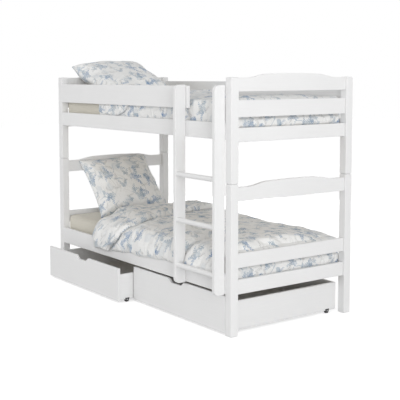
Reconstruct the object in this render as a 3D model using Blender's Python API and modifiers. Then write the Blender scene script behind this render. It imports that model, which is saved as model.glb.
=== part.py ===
"""A separable bunk bed: two single beds, guard boards, a ladder and two drawers on castors.

Metres, Z up, X along the bed, the front towards -Y. The left drawer stands a little open, as in use.
The origin is the middle of the floor area that the whole object covers.
"""
import math

import bmesh
import bpy
from mathutils import Matrix, Vector
from mathutils.bvhtree import BVHTree

# Overall sizes
BED_LENGTH = 2.070
BED_WIDTH = 0.975
POST_WIDTH = 0.054
POST_END_CHAMFER = 0.004
POST_TOP_HEIGHT = 1.500
UPPER_POST_LENGTH = 0.610

# Fits and finish
SEAT_GAP = 0.0003
FIT_GAP = 0.0003
REST_GAP = 0.0005
REST_SAMPLE = 0.008
MERGE_DISTANCE = 0.0001
OVERRUN = 0.004
SINK = 0.001
EDGE_RADIUS = 0.002
EDGE_SEGMENTS = 1
PIN_SIDES = 12
ROUND_STEPS = 18

# Locating pins between the lower and the upper posts
LOCATING_PIN_RADIUS = 0.006
LOCATING_PIN_LENGTH = 0.030

# End rails: bottom and top height of each, or how far these lie below the tops of their posts
END_RAIL_THICKNESS = 0.022
END_RAIL_RECESS = 0.012
LOWER_BOTTOM_RAIL = (0.245, 0.331)
LOWER_MID_RAIL = (0.400, 0.485)
LOWER_ARCHED_DROPS = (0.104, 0.020)
UPPER_BOTTOM_DROPS = (0.371, 0.289)
UPPER_MID_DROPS = (0.228, 0.132)
UPPER_ARCHED_DROPS = (0.081, 0.002)
ARCH_SHOULDER_RISE = 0.021
ARCH_CROWN_RISE = 0.004
ARCH_FOOT_Y = 0.345
ARCH_SHOULDER_Y = 0.200
ARCH_CURVE_POINTS = 6
ARCH_CROWN_POINTS = 3
TENON_THICKNESS = 0.012
TENON_LENGTH = 0.020
TENON_SHOULDER = 0.012

# Side rails, in the same way, with the ledger that carries the slats
SIDE_RAIL_THICKNESS = 0.022
LOWER_SIDE_RAIL = (0.250, 0.365)
UPPER_SIDE_DROPS = (0.358, 0.260)
LEDGER_WIDTH = 0.022
LEDGER_HEIGHT = 0.022
LOWER_LEDGER_TOP = 0.290
UPPER_LEDGER_DROP = 0.318
DOWEL_RADIUS = 0.005
DOWEL_LENGTH = 0.020
DOWEL_EDGE = 0.024

# Guard boards of the upper bed
GUARD_THICKNESS = 0.022
FRONT_GUARD_DROPS = (0.186, 0.051)
BACK_GUARD_DROPS = (0.167, 0.032)
FRONT_GUARD_PAST_STILE = 0.018

# Slatted base
SLAT_COUNT = 14
SLAT_WIDTH = 0.070
SLAT_THICKNESS = 0.015
SLAT_SIDE_GAP = 0.003
SLAT_END_GAP = 0.006
STRAP_WIDTH = 0.030
STRAP_THICKNESS = 0.002
STRAP_Y = 0.250

# Ladder
STILE_THICKNESS = 0.024
STILE_DEPTH = 0.075
STILE_FOOT_HEIGHT = 0.245
STILE_TOP_DROP = 0.045
STILE_CORNER_RADIUS = 0.030
STILE_CORNER_POINTS = 5
LADDER_OUTER_WIDTH = 0.408
LADDER_POST_GAP = 0.003
RUNG_RADIUS = 0.0155
RUNG_TENON_RADIUS = 0.010
RUNG_TENON_LENGTH = 0.015
RUNG_EDGE_DISTANCE = 0.018
RUNG_HEIGHTS = (0.917, 0.639, 0.361)

# Drawers
DRAWER_OPEN = 0.120
DRAWER_BACK_GAP = 0.0625
DRAWER_SPLIT = 0.003
DRAWER_POST_GAP = 0.003
DRAWER_FRONT = (0.012, 0.236)
DRAWER_FRONT_THICKNESS = 0.018
DRAWER_SIDE = (0.018, 0.193)
DRAWER_SIDE_THICKNESS = 0.018
DRAWER_SIDE_INSET = 0.008
DRAWER_BACK_THICKNESS = 0.012
DRAWER_BOTTOM_THICKNESS = 0.006
DRAWER_BOTTOM_HEIGHT = 0.0445
GROOVE_DEPTH = 0.006
GRIP_WIDTH = 0.174
GRIP_DEPTH = 0.025
GRIP_CURVE_LENGTH = 0.040
GRIP_CURVE_POINTS = 6

# Castor wheels, on pins across slots in the drawer sides
WHEEL_RADIUS = 0.018
WHEEL_WIDTH = 0.010
WHEEL_ROUND = 0.002
WHEEL_END_DISTANCE = 0.075
WHEEL_SIDE_GAP = 0.0006
WHEEL_RIM_GAP = 0.003
AXLE_RADIUS = 0.0025
AXLE_GRIP = 0.002

# Mattresses
MATTRESS_THICKNESS = 0.154
MATTRESS_CROWN = 0.006
MATTRESS_CORNER_RADIUS = 0.075
MATTRESS_HEAD_GAP = 0.006
MATTRESS_FOOT_GAP = 0.036
MATTRESS_SIDE_GAP = 0.0155
MATTRESS_EDGE_ROUND = 0.014
MATTRESS_WAIST = 0.006
MATTRESS_FLAT_INSET = 0.035
MATTRESS_CROWN_INSET = 0.330

# Pillows
PILLOW_LENGTH = 0.590
PILLOW_WIDTH = 0.660
PILLOW_THICKNESS = 0.170
PILLOW_DRAW_IN = 0.030
PILLOW_CELLS = (6, 6)
LOWER_PILLOW_LEAN = math.radians(46)
LOWER_PILLOW_Y = -0.035
UPPER_PILLOW_LEAN = math.radians(23)
UPPER_PILLOW_Y = -0.090

# Duvets
LOWER_DUVET_HEAD_DISTANCE = 0.470
UPPER_DUVET_HEAD_DISTANCE = 0.600
DUVET_FLAP_HEAD_DISTANCE = 0.510
DUVET_SIDE_GAP = 0.014
DUVET_LAY_GAP = 0.002
DUVET_FLAP_END_GAP = 0.006
LOWER_DUVET_LOFT = 0.048
LOWER_DUVET_EDGE_LOFT = 0.020
LOWER_DUVET_TURNBACK = 0.050
LOWER_DUVET_RIPPLE = 0.007
LOWER_HEM_HEIGHT = 0.292
LOWER_HEM_RISE = 0.050
UPPER_DUVET_LOFT = 0.025
UPPER_DUVET_EDGE_LOFT = 0.010
UPPER_DUVET_TURNBACK = 0.023
UPPER_DUVET_RIPPLE = 0.004
UPPER_HEM_DROP = 0.285
DUVET_RIPPLES = 4
TURNBACK_CENTRE_SHARE = 0.12
TURNBACK_WIDTH_SHARE = 0.16
THIN_END_SHARE = 0.1
LOWER_DUVET_CELLS = (14, 9)
LOWER_BEND_CELLS = (3, 7)
UPPER_DUVET_CELLS = (10, 7)
UPPER_BEND_CELLS = (3, 5)
FOOT_FLAP_THICKNESS = 0.022
FOOT_FLAP_CELLS = (4, 5)
FOOT_FLAP_LAP = 0.060
FOOT_FLAP_SIDE_GAP = 0.025
STILE_SLOT_GAP = 0.005

# The way out from a duvet's lining, at each corner of its route: across the bed and up
LOWER_OUTWARD_SHARES = ((0.3, 1), (0, 1), (0, 1), (0, 1), (-0.3, 1), (-0.8, 0.6), (-0.8, 0.6), (-1, 0.2),
                        (-1, 0), (-1, 0))
UPPER_OUTWARD_SHARES = ((0.3, 1), (0, 1), (0, 1), (0, 1), (-0.3, 1), (-1, 0), (-1, 0), (-1, 0))
FLAP_OUTWARD_SHARES = ((0, 1), (0.4, 1), (1, 0), (1, 0), (1, 0))



def below(top, drops):
    """The bottom and top height of a board that lies that far below a post's top."""
    return top - drops[0], top - drops[1]


# Worked out from the sizes above
POST_JOINT_HEIGHT = POST_TOP_HEIGHT - UPPER_POST_LENGTH
LOWER_ARCHED_RAIL = below(POST_JOINT_HEIGHT, LOWER_ARCHED_DROPS)
UPPER_BOTTOM_RAIL = below(POST_TOP_HEIGHT, UPPER_BOTTOM_DROPS)
UPPER_MID_RAIL = below(POST_TOP_HEIGHT, UPPER_MID_DROPS)
UPPER_ARCHED_RAIL = below(POST_TOP_HEIGHT, UPPER_ARCHED_DROPS)
UPPER_SIDE_RAIL = below(POST_TOP_HEIGHT, UPPER_SIDE_DROPS)
UPPER_LEDGER_TOP = POST_TOP_HEIGHT - UPPER_LEDGER_DROP
UPPER_HEM_HEIGHT = POST_TOP_HEIGHT - UPPER_HEM_DROP
FRONT_GUARD = below(POST_TOP_HEIGHT, FRONT_GUARD_DROPS)
BACK_GUARD = below(POST_TOP_HEIGHT, BACK_GUARD_DROPS)
STILE_TOP_HEIGHT = POST_TOP_HEIGHT - STILE_TOP_DROP
POST_X = BED_LENGTH / 2 - POST_WIDTH / 2
POST_Y = BED_WIDTH / 2 - POST_WIDTH / 2
INNER_X = BED_LENGTH / 2 - POST_WIDTH
INNER_Y = BED_WIDTH / 2 - POST_WIDTH
END_RAIL_X = BED_LENGTH / 2 - END_RAIL_RECESS - END_RAIL_THICKNESS / 2
END_RAIL_INNER_X = END_RAIL_X - END_RAIL_THICKNESS / 2
SIDE_RAIL_Y = BED_WIDTH / 2 - SIDE_RAIL_THICKNESS / 2
SIDE_RAIL_INNER_Y = BED_WIDTH / 2 - SIDE_RAIL_THICKNESS
LADDER_LEFT_X = INNER_X - LADDER_POST_GAP - LADDER_OUTER_WIDTH
LADDER_RIGHT_X = LADDER_LEFT_X + LADDER_OUTER_WIDTH - STILE_THICKNESS
STILE_BACK_Y = -BED_WIDTH / 2 - SEAT_GAP
STILE_FRONT_Y = -BED_WIDTH / 2 - STILE_DEPTH
RUNG_Y = STILE_FRONT_Y + RUNG_EDGE_DISTANCE
DRAWER_WIDTH = INNER_X - DRAWER_POST_GAP - DRAWER_SPLIT / 2
DRAWER_CENTRE_X = DRAWER_SPLIT / 2 + DRAWER_WIDTH / 2
DRAWER_DEPTH = BED_WIDTH - DRAWER_BACK_GAP
MATTRESS_HEAD_X = MATTRESS_HEAD_GAP - END_RAIL_INNER_X
MATTRESS_FOOT_X = END_RAIL_INNER_X - MATTRESS_FOOT_GAP
MATTRESS_LENGTH = MATTRESS_FOOT_X - MATTRESS_HEAD_X
MATTRESS_WIDTH = 2 * (SIDE_RAIL_INNER_Y - MATTRESS_SIDE_GAP)

# Colours, roughness and metallic value of each material
FINISHES = {
    "white_paint": ((0.80, 0.80, 0.79), 0.45, 0.0),
    "pine_slats": ((0.72, 0.60, 0.44), 0.60, 0.0),
    "mattress_ticking": ((0.56, 0.53, 0.45), 0.90, 0.0),
    "printed_cotton": ((0.74, 0.75, 0.76), 0.85, 0.0),
    "black_plastic": ((0.02, 0.02, 0.02), 0.50, 0.0),
}

# Planes in which an outline is drawn: the columns are where its own X, Y and Z point
PLANE_YZ = Matrix(((0, 0, 1), (1, 0, 0), (0, 1, 0))).to_4x4()
PLANE_XZ = Matrix(((1, 0, 0), (0, 0, -1), (0, 1, 0))).to_4x4()
AXIS_ALONG_X = Matrix.Rotation(math.radians(90), 4, "Y")
AXIS_ALONG_Z = Matrix.Identity(4)


def smooth_step(share):
    share = min(max(share, 0.0), 1.0)
    return share * share * (3 - 2 * share)


def bump(share, centre_share, width_share):
    """One rounded swell that is 1 at its centre and 0 a width away."""
    distance = min(abs(share - centre_share) / width_share, 1.0)
    return (1 + math.cos(math.pi * distance)) / 2


def clear_scene():
    for obj in list(bpy.data.objects):
        bpy.data.objects.remove(obj, do_unlink=True)


def new_collection(name, hidden):
    collection = bpy.data.collections.new(name)
    collection.hide_render = hidden
    bpy.context.scene.collection.children.link(collection)
    return collection


def make_material(name):
    colour, roughness, metallic = FINISHES[name]
    material = bpy.data.materials.new(name)
    material.use_nodes = True
    shader = material.node_tree.nodes["Principled BSDF"]
    shader.inputs["Base Color"].default_value = (*colour, 1)
    shader.inputs["Roughness"].default_value = roughness
    shader.inputs["Metallic"].default_value = metallic
    material.diffuse_color = (*colour, 1)
    return material


def block(low, high):
    """A box between two corners, as a shape that draws itself into a bmesh."""
    low = Vector(low)
    high = Vector(high)

    def draw(bm):
        place = Matrix.Translation((low + high) / 2) @ Matrix.Diagonal((*(high - low), 1))
        bmesh.ops.create_cube(bm, size=1, matrix=place)

    return draw


def post_bar(x, y, low, high):
    """A square post whose ends are chamfered all round."""
    half = POST_WIDTH / 2
    narrow = half - POST_END_CHAMFER
    bottom, top = low + POST_END_CHAMFER, high - POST_END_CHAMFER
    levels = [(low, narrow), (bottom, half), (top, half), (high, narrow)]

    def draw(bm):
        rings = []
        for height, reach in levels:
            corners = [(reach, reach), (-reach, reach), (-reach, -reach), (reach, -reach)]
            rings.append([bm.verts.new((x + across, y + deep, height)) for across, deep in corners])
        for below, above in zip(rings, rings[1:]):
            for index, after in ((0, 1), (1, 2), (2, 3), (3, 0)):
                bm.faces.new((below[index], below[after], above[after], above[index]))
        bm.faces.new(rings[0][::-1])
        bm.faces.new(rings[-1])

    return draw


def pin(start, length, radius, turn):
    """A round bar from a start point, along the turned Z axis."""
    place = Matrix.Translation(start) @ turn @ Matrix.Translation((0, 0, length / 2))

    def draw(bm):
        bmesh.ops.create_cone(bm, cap_ends=True, segments=PIN_SIDES, radius1=radius, radius2=radius,
                              depth=length, matrix=place)

    return draw


def bore(radius):
    """The radius of a many-sided hole whose flats clear a round bar."""
    return (radius + FIT_GAP) / math.cos(math.pi / PIN_SIDES)


def shapes_mesh(name, shapes):
    bm = bmesh.new()
    for draw in shapes:
        draw(bm)
    mesh = bpy.data.meshes.new(name)
    bm.to_mesh(mesh)
    bm.free()
    return mesh


def outline_mesh(name, outline, thickness, plane, centre):
    """A flat outline of given thickness, drawn in a plane and moved to its centre."""
    curve = bpy.data.curves.new(name, "CURVE")
    curve.dimensions = "2D"
    curve.fill_mode = "BOTH"
    curve.extrude = thickness / 2
    spline = curve.splines.new("POLY")
    spline.points.add(len(outline) - 1)
    for point, (across, up) in zip(spline.points, outline):
        point.co = (across, up, 0, 1)
    spline.use_cyclic_u = True
    guide = bpy.data.objects.new(name, curve)
    guide.matrix_world = Matrix.Translation(centre) @ plane
    bpy.context.scene.collection.objects.link(guide)
    bpy.context.view_layer.update()
    evaluated = guide.evaluated_get(bpy.context.evaluated_depsgraph_get())
    mesh = bpy.data.meshes.new_from_object(evaluated)
    mesh.transform(guide.matrix_world)
    bpy.data.objects.remove(guide, do_unlink=True)
    bm = bmesh.new()
    bm.from_mesh(mesh)
    bmesh.ops.remove_doubles(bm, verts=bm.verts, dist=MERGE_DISTANCE)
    bmesh.ops.recalc_face_normals(bm, faces=bm.faces)
    bm.to_mesh(mesh)
    bm.free()
    return mesh


def profile_mesh(name, profile, closed):
    """An open or closed profile in the XZ plane, for a Screw modifier to turn."""
    bm = bmesh.new()
    corners = [bm.verts.new((radius, 0, height)) for radius, height in profile]
    for first, second in zip(corners, corners[1:]):
        bm.edges.new((first, second))
    if closed:
        bm.edges.new((corners[-1], corners[0]))
    mesh = bpy.data.meshes.new(name)
    bm.to_mesh(mesh)
    bm.free()
    return mesh


class Workshop:
    """Where finished pieces and their cutters are kept."""

    def __init__(self):
        self.parts = new_collection("separable_bunk_bed", False)
        self.cutters = new_collection("cutters", True)
        self.materials = {name: make_material(name) for name in FINISHES}
        self.made = {}

    def empty(self, name, location, parent):
        obj = bpy.data.objects.new(name, None)
        obj.location = location
        obj.parent = parent
        self.parts.objects.link(obj)
        return obj

    def helper(self, name, mesh, parent):
        obj = bpy.data.objects.new(name, mesh)
        obj.parent = parent
        obj.hide_render = True
        obj.display_type = "WIRE"
        self.cutters.objects.link(obj)
        return obj

    def piece(self, name, mesh, parent, finish, location=(0, 0, 0), turn=AXIS_ALONG_Z):
        mesh.materials.clear()
        mesh.materials.append(self.materials[finish])
        mesh.shade_smooth()
        mesh.set_sharp_from_angle(angle=math.radians(30))
        obj = bpy.data.objects.new(name, mesh)
        obj.matrix_local = Matrix.Translation(location) @ turn
        obj.parent = parent
        self.parts.objects.link(obj)
        self.made[name] = obj
        return obj

    def ease_edges(self, obj, radius=EDGE_RADIUS):
        bevel = obj.modifiers.new("eased_edges", "BEVEL")
        bevel.width = radius
        bevel.segments = EDGE_SEGMENTS
        bevel.limit_method = "ANGLE"
        bevel.angle_limit = math.radians(40)

    def combine(self, obj, other, operation):
        boolean = obj.modifiers.new(other.name, "BOOLEAN")
        boolean.operation = operation
        boolean.object = other

    def cut(self, obj, shapes):
        tool = self.helper(f"{obj.name}_cuts", shapes_mesh(f"{obj.name}_cuts", shapes), obj.parent)
        self.combine(obj, tool, "DIFFERENCE")

    def join(self, obj, shapes):
        tool = self.helper(f"{obj.name}_joins", shapes_mesh(f"{obj.name}_joins", shapes), obj.parent)
        self.combine(obj, tool, "UNION")

    def turn_profile(self, obj, steps=ROUND_STEPS):
        screw = obj.modifiers.new("turned", "SCREW")
        screw.axis = "Z"
        screw.steps = steps
        screw.render_steps = steps
        screw.use_merge_vertices = True
        screw.merge_threshold = MERGE_DISTANCE

    def soften(self, obj):
        surface = obj.modifiers.new("soft_surface", "SUBSURF")
        surface.levels = 1
        surface.render_levels = 1


class Tier:
    """The heights that one of the two beds is built to."""

    def __init__(self, name, post, end_rails, side_rail, ledger_top, boards):
        self.name = name
        self.post = post
        self.end_rails = end_rails
        self.side_rail = side_rail
        self.ledger_top = ledger_top
        self.boards = boards

    def slat_foot(self):
        return self.ledger_top + SEAT_GAP

    def mattress_foot(self):
        return self.slat_foot() + SLAT_THICKNESS + SEAT_GAP

    def mattress_top(self):
        return self.mattress_foot() + MATTRESS_THICKNESS + MATTRESS_CROWN


LOWER = Tier("lower", (0.0, POST_JOINT_HEIGHT),
             {"bottom": LOWER_BOTTOM_RAIL, "mid": LOWER_MID_RAIL, "arched": LOWER_ARCHED_RAIL},
             LOWER_SIDE_RAIL, LOWER_LEDGER_TOP, {"front": (), "back": ()})
UPPER = Tier("upper", (POST_JOINT_HEIGHT + SEAT_GAP, POST_TOP_HEIGHT),
             {"bottom": UPPER_BOTTOM_RAIL, "mid": UPPER_MID_RAIL, "arched": UPPER_ARCHED_RAIL},
             UPPER_SIDE_RAIL, UPPER_LEDGER_TOP, {"front": (FRONT_GUARD,), "back": (BACK_GUARD,)})
SIDES_X = {"left": -1, "right": 1}
SIDES_Y = {"front": -1, "back": 1}


def dowel_heights(rail):
    return rail[0] + DOWEL_EDGE, rail[1] - DOWEL_EDGE


def mortise(rail, x_side, y_side):
    """The socket in a post for one end rail's tenon."""
    half = TENON_THICKNESS / 2 + FIT_GAP
    x = x_side * END_RAIL_X
    mouth = y_side * (INNER_Y - OVERRUN)
    bottom = y_side * (INNER_Y + TENON_LENGTH)
    return block((x - half, min(mouth, bottom), rail[0] + TENON_SHOULDER - FIT_GAP),
                 (x + half, max(mouth, bottom), rail[1] - TENON_SHOULDER + FIT_GAP))


def dowel_hole(height, x_side, y_side):
    """The hole in a post for one dowel of a side rail or guard board."""
    start = x_side * (INNER_X - OVERRUN)
    turn = Matrix.Rotation(math.radians(90 * x_side), 4, "Y")
    return pin((start, y_side * SIDE_RAIL_Y, height), OVERRUN + DOWEL_LENGTH, bore(DOWEL_RADIUS), turn)


def make_post(shop, tier, parent, x_name, y_name):
    x_side = SIDES_X[x_name]
    y_side = SIDES_Y[y_name]
    x = x_side * POST_X
    y = y_side * POST_Y
    name = f"{tier.name}_post_{y_name}_{x_name}"
    post = shop.piece(name, shapes_mesh(name, [post_bar(x, y, *tier.post)]), parent, "white_paint")
    shop.ease_edges(post)
    cuts = [mortise(rail, x_side, y_side) for rail in tier.end_rails.values()]
    for board in (tier.side_rail, *tier.boards[y_name]):
        cuts += [dowel_hole(height, x_side, y_side) for height in dowel_heights(board)]
    if tier is UPPER:
        cuts.append(pin((x, y, tier.post[0] - OVERRUN), OVERRUN + LOCATING_PIN_LENGTH + FIT_GAP,
                        bore(LOCATING_PIN_RADIUS), AXIS_ALONG_Z))
    shop.cut(post, cuts)
    if tier is LOWER:
        shop.join(post, [pin((x, y, tier.post[1] - SINK), SINK + LOCATING_PIN_LENGTH,
                             LOCATING_PIN_RADIUS, AXIS_ALONG_Z)])


def arch_outline(half_length, low, high):
    """The arched rail from the side: level ends, a curve up to the shoulder and a low crown."""
    rising = []
    for step in range(ARCH_CURVE_POINTS + 1):
        share = step / ARCH_CURVE_POINTS
        y = ARCH_FOOT_Y + (ARCH_SHOULDER_Y - ARCH_FOOT_Y) * share
        rising.append((y, high + ARCH_SHOULDER_RISE * smooth_step(share)))
    for step in range(1, ARCH_CROWN_POINTS):
        share = step / ARCH_CROWN_POINTS
        y = ARCH_SHOULDER_Y * (1 - share)
        rising.append((y, high + ARCH_SHOULDER_RISE + ARCH_CROWN_RISE * (1 - (1 - share) ** 2)))
    right = [(half_length, low), (half_length, high), *rising]
    crown = (0.0, high + ARCH_SHOULDER_RISE + ARCH_CROWN_RISE)
    left = [(-y, z) for y, z in reversed(right)]
    return [*right, crown, *left]


def make_end_rail(shop, tier, parent, x_name, kind):
    x = SIDES_X[x_name] * END_RAIL_X
    low, high = tier.end_rails[kind]
    half = INNER_Y - SEAT_GAP
    outline = [(half, low), (half, high), (-half, high), (-half, low)]
    if kind == "arched":
        outline = arch_outline(half, low, high)
    name = f"{tier.name}_{x_name}_{kind}_rail"
    mesh = outline_mesh(name, outline, END_RAIL_THICKNESS, PLANE_YZ, (x, 0, 0))
    rail = shop.piece(name, mesh, parent, "white_paint")
    shop.ease_edges(rail)
    tenons = []
    for side in SIDES_Y.values():
        root = side * (half - SINK)
        tip = side * (INNER_Y + TENON_LENGTH - FIT_GAP)
        tenons.append(block((x - TENON_THICKNESS / 2, min(root, tip), low + TENON_SHOULDER),
                            (x + TENON_THICKNESS / 2, max(root, tip), high - TENON_SHOULDER)))
    shop.join(rail, tenons)


def end_dowels(rail, y_side, x_sides):
    """The dowels that stick out of a board's ends into the posts."""
    dowels = []
    for x_side in x_sides:
        turn = Matrix.Rotation(math.radians(90 * x_side), 4, "Y")
        start = x_side * (INNER_X - SEAT_GAP - SINK)
        length = SEAT_GAP + SINK + DOWEL_LENGTH - FIT_GAP
        for height in dowel_heights(rail):
            dowels.append(pin((start, y_side * SIDE_RAIL_Y, height), length, DOWEL_RADIUS, turn))
    return dowels


def make_side_rail(shop, tier, parent, y_name):
    side = SIDES_Y[y_name]
    low, high = tier.side_rail
    outer = side * BED_WIDTH / 2
    inner = side * SIDE_RAIL_INNER_Y
    ledge = side * (SIDE_RAIL_INNER_Y - LEDGER_WIDTH)
    ledger_foot = tier.ledger_top - LEDGER_HEIGHT
    outline = [(outer, low), (outer, high), (inner, high), (inner, tier.ledger_top),
               (ledge, tier.ledger_top), (ledge, ledger_foot), (inner, ledger_foot), (inner, low)]
    name = f"{tier.name}_side_rail_{y_name}"
    mesh = outline_mesh(name, outline, 2 * (INNER_X - SEAT_GAP), PLANE_YZ, (0, 0, 0))
    rail = shop.piece(name, mesh, parent, "white_paint")
    shop.ease_edges(rail)
    shop.join(rail, end_dowels(tier.side_rail, side, SIDES_X.values()))


def make_guard(shop, parent, y_name, board, right_end, x_sides):
    side = SIDES_Y[y_name]
    outer = side * BED_WIDTH / 2
    inner = side * (BED_WIDTH / 2 - GUARD_THICKNESS)
    name = f"guard_rail_{y_name}"
    body = block((SEAT_GAP - INNER_X, min(outer, inner), board[0]),
                 (right_end, max(outer, inner), board[1]))
    guard = shop.piece(name, shapes_mesh(name, [body]), parent, "white_paint")
    shop.ease_edges(guard)
    shop.join(guard, end_dowels(board, side, x_sides))


def make_slat_base(shop, tier, parent):
    half_y = SIDE_RAIL_INNER_Y - SLAT_SIDE_GAP
    first = -INNER_X + SLAT_END_GAP
    pitch = (2 * -first - SLAT_WIDTH) / (SLAT_COUNT - 1)
    foot = tier.slat_foot()
    slats = []
    for index in range(SLAT_COUNT):
        x = first + index * pitch
        slats.append(block((x, -half_y, foot), (x + SLAT_WIDTH, half_y, foot + SLAT_THICKNESS)))
    name = f"{tier.name}_slat_base"
    base = shop.piece(name, shapes_mesh(name, slats), parent, "pine_slats")
    straps = []
    strap_end = -first - SLAT_WIDTH / 2
    for y in (-STRAP_Y, STRAP_Y):
        straps.append(block((-strap_end, y - STRAP_WIDTH / 2, foot - STRAP_THICKNESS),
                            (strap_end, y + STRAP_WIDTH / 2, foot + STRAP_THICKNESS / 2)))
    shop.join(base, straps)


def mattress_ring(inset, height):
    """One level of the mattress cage: a rectangle with round corners, drawn in by the inset."""
    half_x = MATTRESS_LENGTH / 2 - inset
    half_y = MATTRESS_WIDTH / 2 - inset
    radius = min(MATTRESS_CORNER_RADIUS, half_y)
    ring = []
    for corner in range(4):
        x_side = (1, -1, -1, 1)[corner]
        y_side = (1, 1, -1, -1)[corner]
        for step in range(3):
            angle = math.radians(90 * corner + 45 * step)
            ring.append((x_side * (half_x - radius) + radius * math.cos(angle),
                         y_side * (half_y - radius) + radius * math.sin(angle), height))
    return ring


def make_mattress(shop, tier, parent):
    """Rings from the underside over the drawn-in sides to the crown, closed by two flat ends."""
    top = MATTRESS_THICKNESS
    levels = [(MATTRESS_CROWN_INSET, 0.0), (MATTRESS_FLAT_INSET, 0.0), (0.0, MATTRESS_EDGE_ROUND),
              (MATTRESS_WAIST, top / 2), (0.0, top - MATTRESS_EDGE_ROUND), (MATTRESS_FLAT_INSET, top),
              (MATTRESS_CROWN_INSET, top + MATTRESS_CROWN)]
    bm = bmesh.new()
    rings = []
    for inset, height in levels:
        rings.append([bm.verts.new(point) for point in mattress_ring(inset, height)])
    count = len(rings[0])
    for below, above in zip(rings, rings[1:]):
        for index in range(count):
            after = (index + 1) % count
            bm.faces.new((below[index], below[after], above[after], above[index]))
    bm.faces.new(reversed(rings[0]))
    bm.faces.new(rings[-1])
    name = f"{tier.name}_mattress"
    mesh = bpy.data.meshes.new(name)
    bm.to_mesh(mesh)
    bm.free()
    centre_x = (MATTRESS_HEAD_X + MATTRESS_FOOT_X) / 2
    mattress = shop.piece(name, mesh, parent, "mattress_ticking", (centre_x, 0, tier.mattress_foot()))
    shop.soften(mattress)


def surface_of(obj):
    """Points along every edge of a finished piece, and a search tree of its faces."""
    bpy.context.view_layer.update()
    evaluated = obj.evaluated_get(bpy.context.evaluated_depsgraph_get())
    mesh = evaluated.to_mesh()
    corners = [evaluated.matrix_world @ vert.co for vert in mesh.vertices]
    faces = [tuple(face.vertices) for face in mesh.polygons]
    points = []
    for edge in mesh.edges:
        first, second = (corners[index] for index in edge.vertices)
        count = max(1, round((second - first).length / REST_SAMPLE))
        points += [first.lerp(second, step / count) for step in range(count + 1)]
    evaluated.to_mesh_clear()
    return points, BVHTree.FromPolygons(corners, faces)


def settle(obj, way, supports, reach=BED_LENGTH):
    """Move a soft piece along a way until it rests on a support, or has gone as far as its reach."""
    way = Vector(way)
    points, tree = surface_of(obj)
    room = [reach - max(point.dot(way) for point in points)]
    for support in supports:
        support_points, support_tree = surface_of(support)
        hits = [support_tree.ray_cast(point, way) for point in points]
        hits += [tree.ray_cast(point, -way) for point in support_points]
        room += [hit[3] for hit in hits if hit[0] is not None]
    obj.location += way * (min(room) - REST_GAP)


def pillow_point(across_share, along_share):
    """A point of the pillow's upper half, from shares of -1 to 1 each way."""
    across_share = math.sin(across_share * math.pi / 2)
    along_share = math.sin(along_share * math.pi / 2)
    draw = PILLOW_DRAW_IN
    x = (PILLOW_LENGTH / 2 - draw * (1 - along_share ** 2) * across_share ** 2) * across_share
    y = (PILLOW_WIDTH / 2 - draw * (1 - across_share ** 2) * along_share ** 2) * along_share
    fullness = (1 - across_share ** 4) * (1 - along_share ** 4)
    return x, y, PILLOW_THICKNESS / 2 * math.sqrt(max(fullness, 0.0))


def make_pillow(shop, tier, parent, lean, centre_y):
    """Half a pillow, mirrored at its seam, that rests on the mattress and leans on the head end."""
    bm = bmesh.new()
    bmesh.ops.create_grid(bm, x_segments=PILLOW_CELLS[0], y_segments=PILLOW_CELLS[1], size=1)
    for vert in bm.verts:
        vert.co = pillow_point(vert.co.x, vert.co.y)
    name = f"{tier.name}_pillow"
    mesh = bpy.data.meshes.new(name)
    bm.to_mesh(mesh)
    bm.free()
    half_way = PILLOW_LENGTH * math.cos(lean) / 2
    centre_x = PILLOW_THICKNESS + half_way - END_RAIL_INNER_X
    centre = (centre_x, centre_y, tier.mattress_top() + PILLOW_LENGTH)
    pillow = shop.piece(name, mesh, parent, "printed_cotton", centre, Matrix.Rotation(lean, 4, "Y"))
    mirror = pillow.modifiers.new("under_side", "MIRROR")
    mirror.use_axis = (False, False, True)
    mirror.merge_threshold = MERGE_DISTANCE
    shop.soften(pillow)
    settle(pillow, (0, 0, -1), [shop.made[f"{tier.name}_mattress"]])
    settle(pillow, (-1, 0, 0), [shop.made[f"{tier.name}_left_{kind}_rail"] for kind in tier.end_rails],
           END_RAIL_X)
    settle(pillow, (0, 0, -1), [shop.made[f"{tier.name}_mattress"]])


def quilt_mesh(name, cells, inner, outer):
    """A padded sheet: a grid for its lining and the same grid pushed out for its face."""
    bm = bmesh.new()
    bmesh.ops.create_grid(bm, x_segments=cells[0], y_segments=cells[1], size=1)
    lining = list(bm.verts)
    raised = bmesh.ops.extrude_face_region(bm, geom=list(bm.faces), use_keep_orig=True)
    face = [item for item in raised["geom"] if isinstance(item, bmesh.types.BMVert)]
    for vert in lining:
        vert.co = inner((vert.co.x + 1) / 2, (vert.co.y + 1) / 2)
    for vert in face:
        vert.co = outer((vert.co.x + 1) / 2, (vert.co.y + 1) / 2)
    bmesh.ops.recalc_face_normals(bm, faces=bm.faces)
    mesh = bpy.data.meshes.new(name)
    bm.to_mesh(mesh)
    bm.free()
    return mesh


class Route:
    """A path of corner points across the bed, with the way out from it at each corner."""

    def __init__(self, points, outward):
        self.points = points
        self.outward = outward

    def at(self, share):
        """The point and the outward way at a share of the path, counted in equal steps."""
        place = share * (len(self.points) - 1)
        index = min(int(place), len(self.points) - 2)
        part = place - index
        point = Vector(self.points[index]).lerp(Vector(self.points[index + 1]), part)
        way = Vector(self.outward[index]).lerp(Vector(self.outward[index + 1]), part)
        return point, way


def lower_hem(share):
    return LOWER_HEM_HEIGHT + LOWER_HEM_RISE * math.sin(math.pi * share) ** 2


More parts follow.
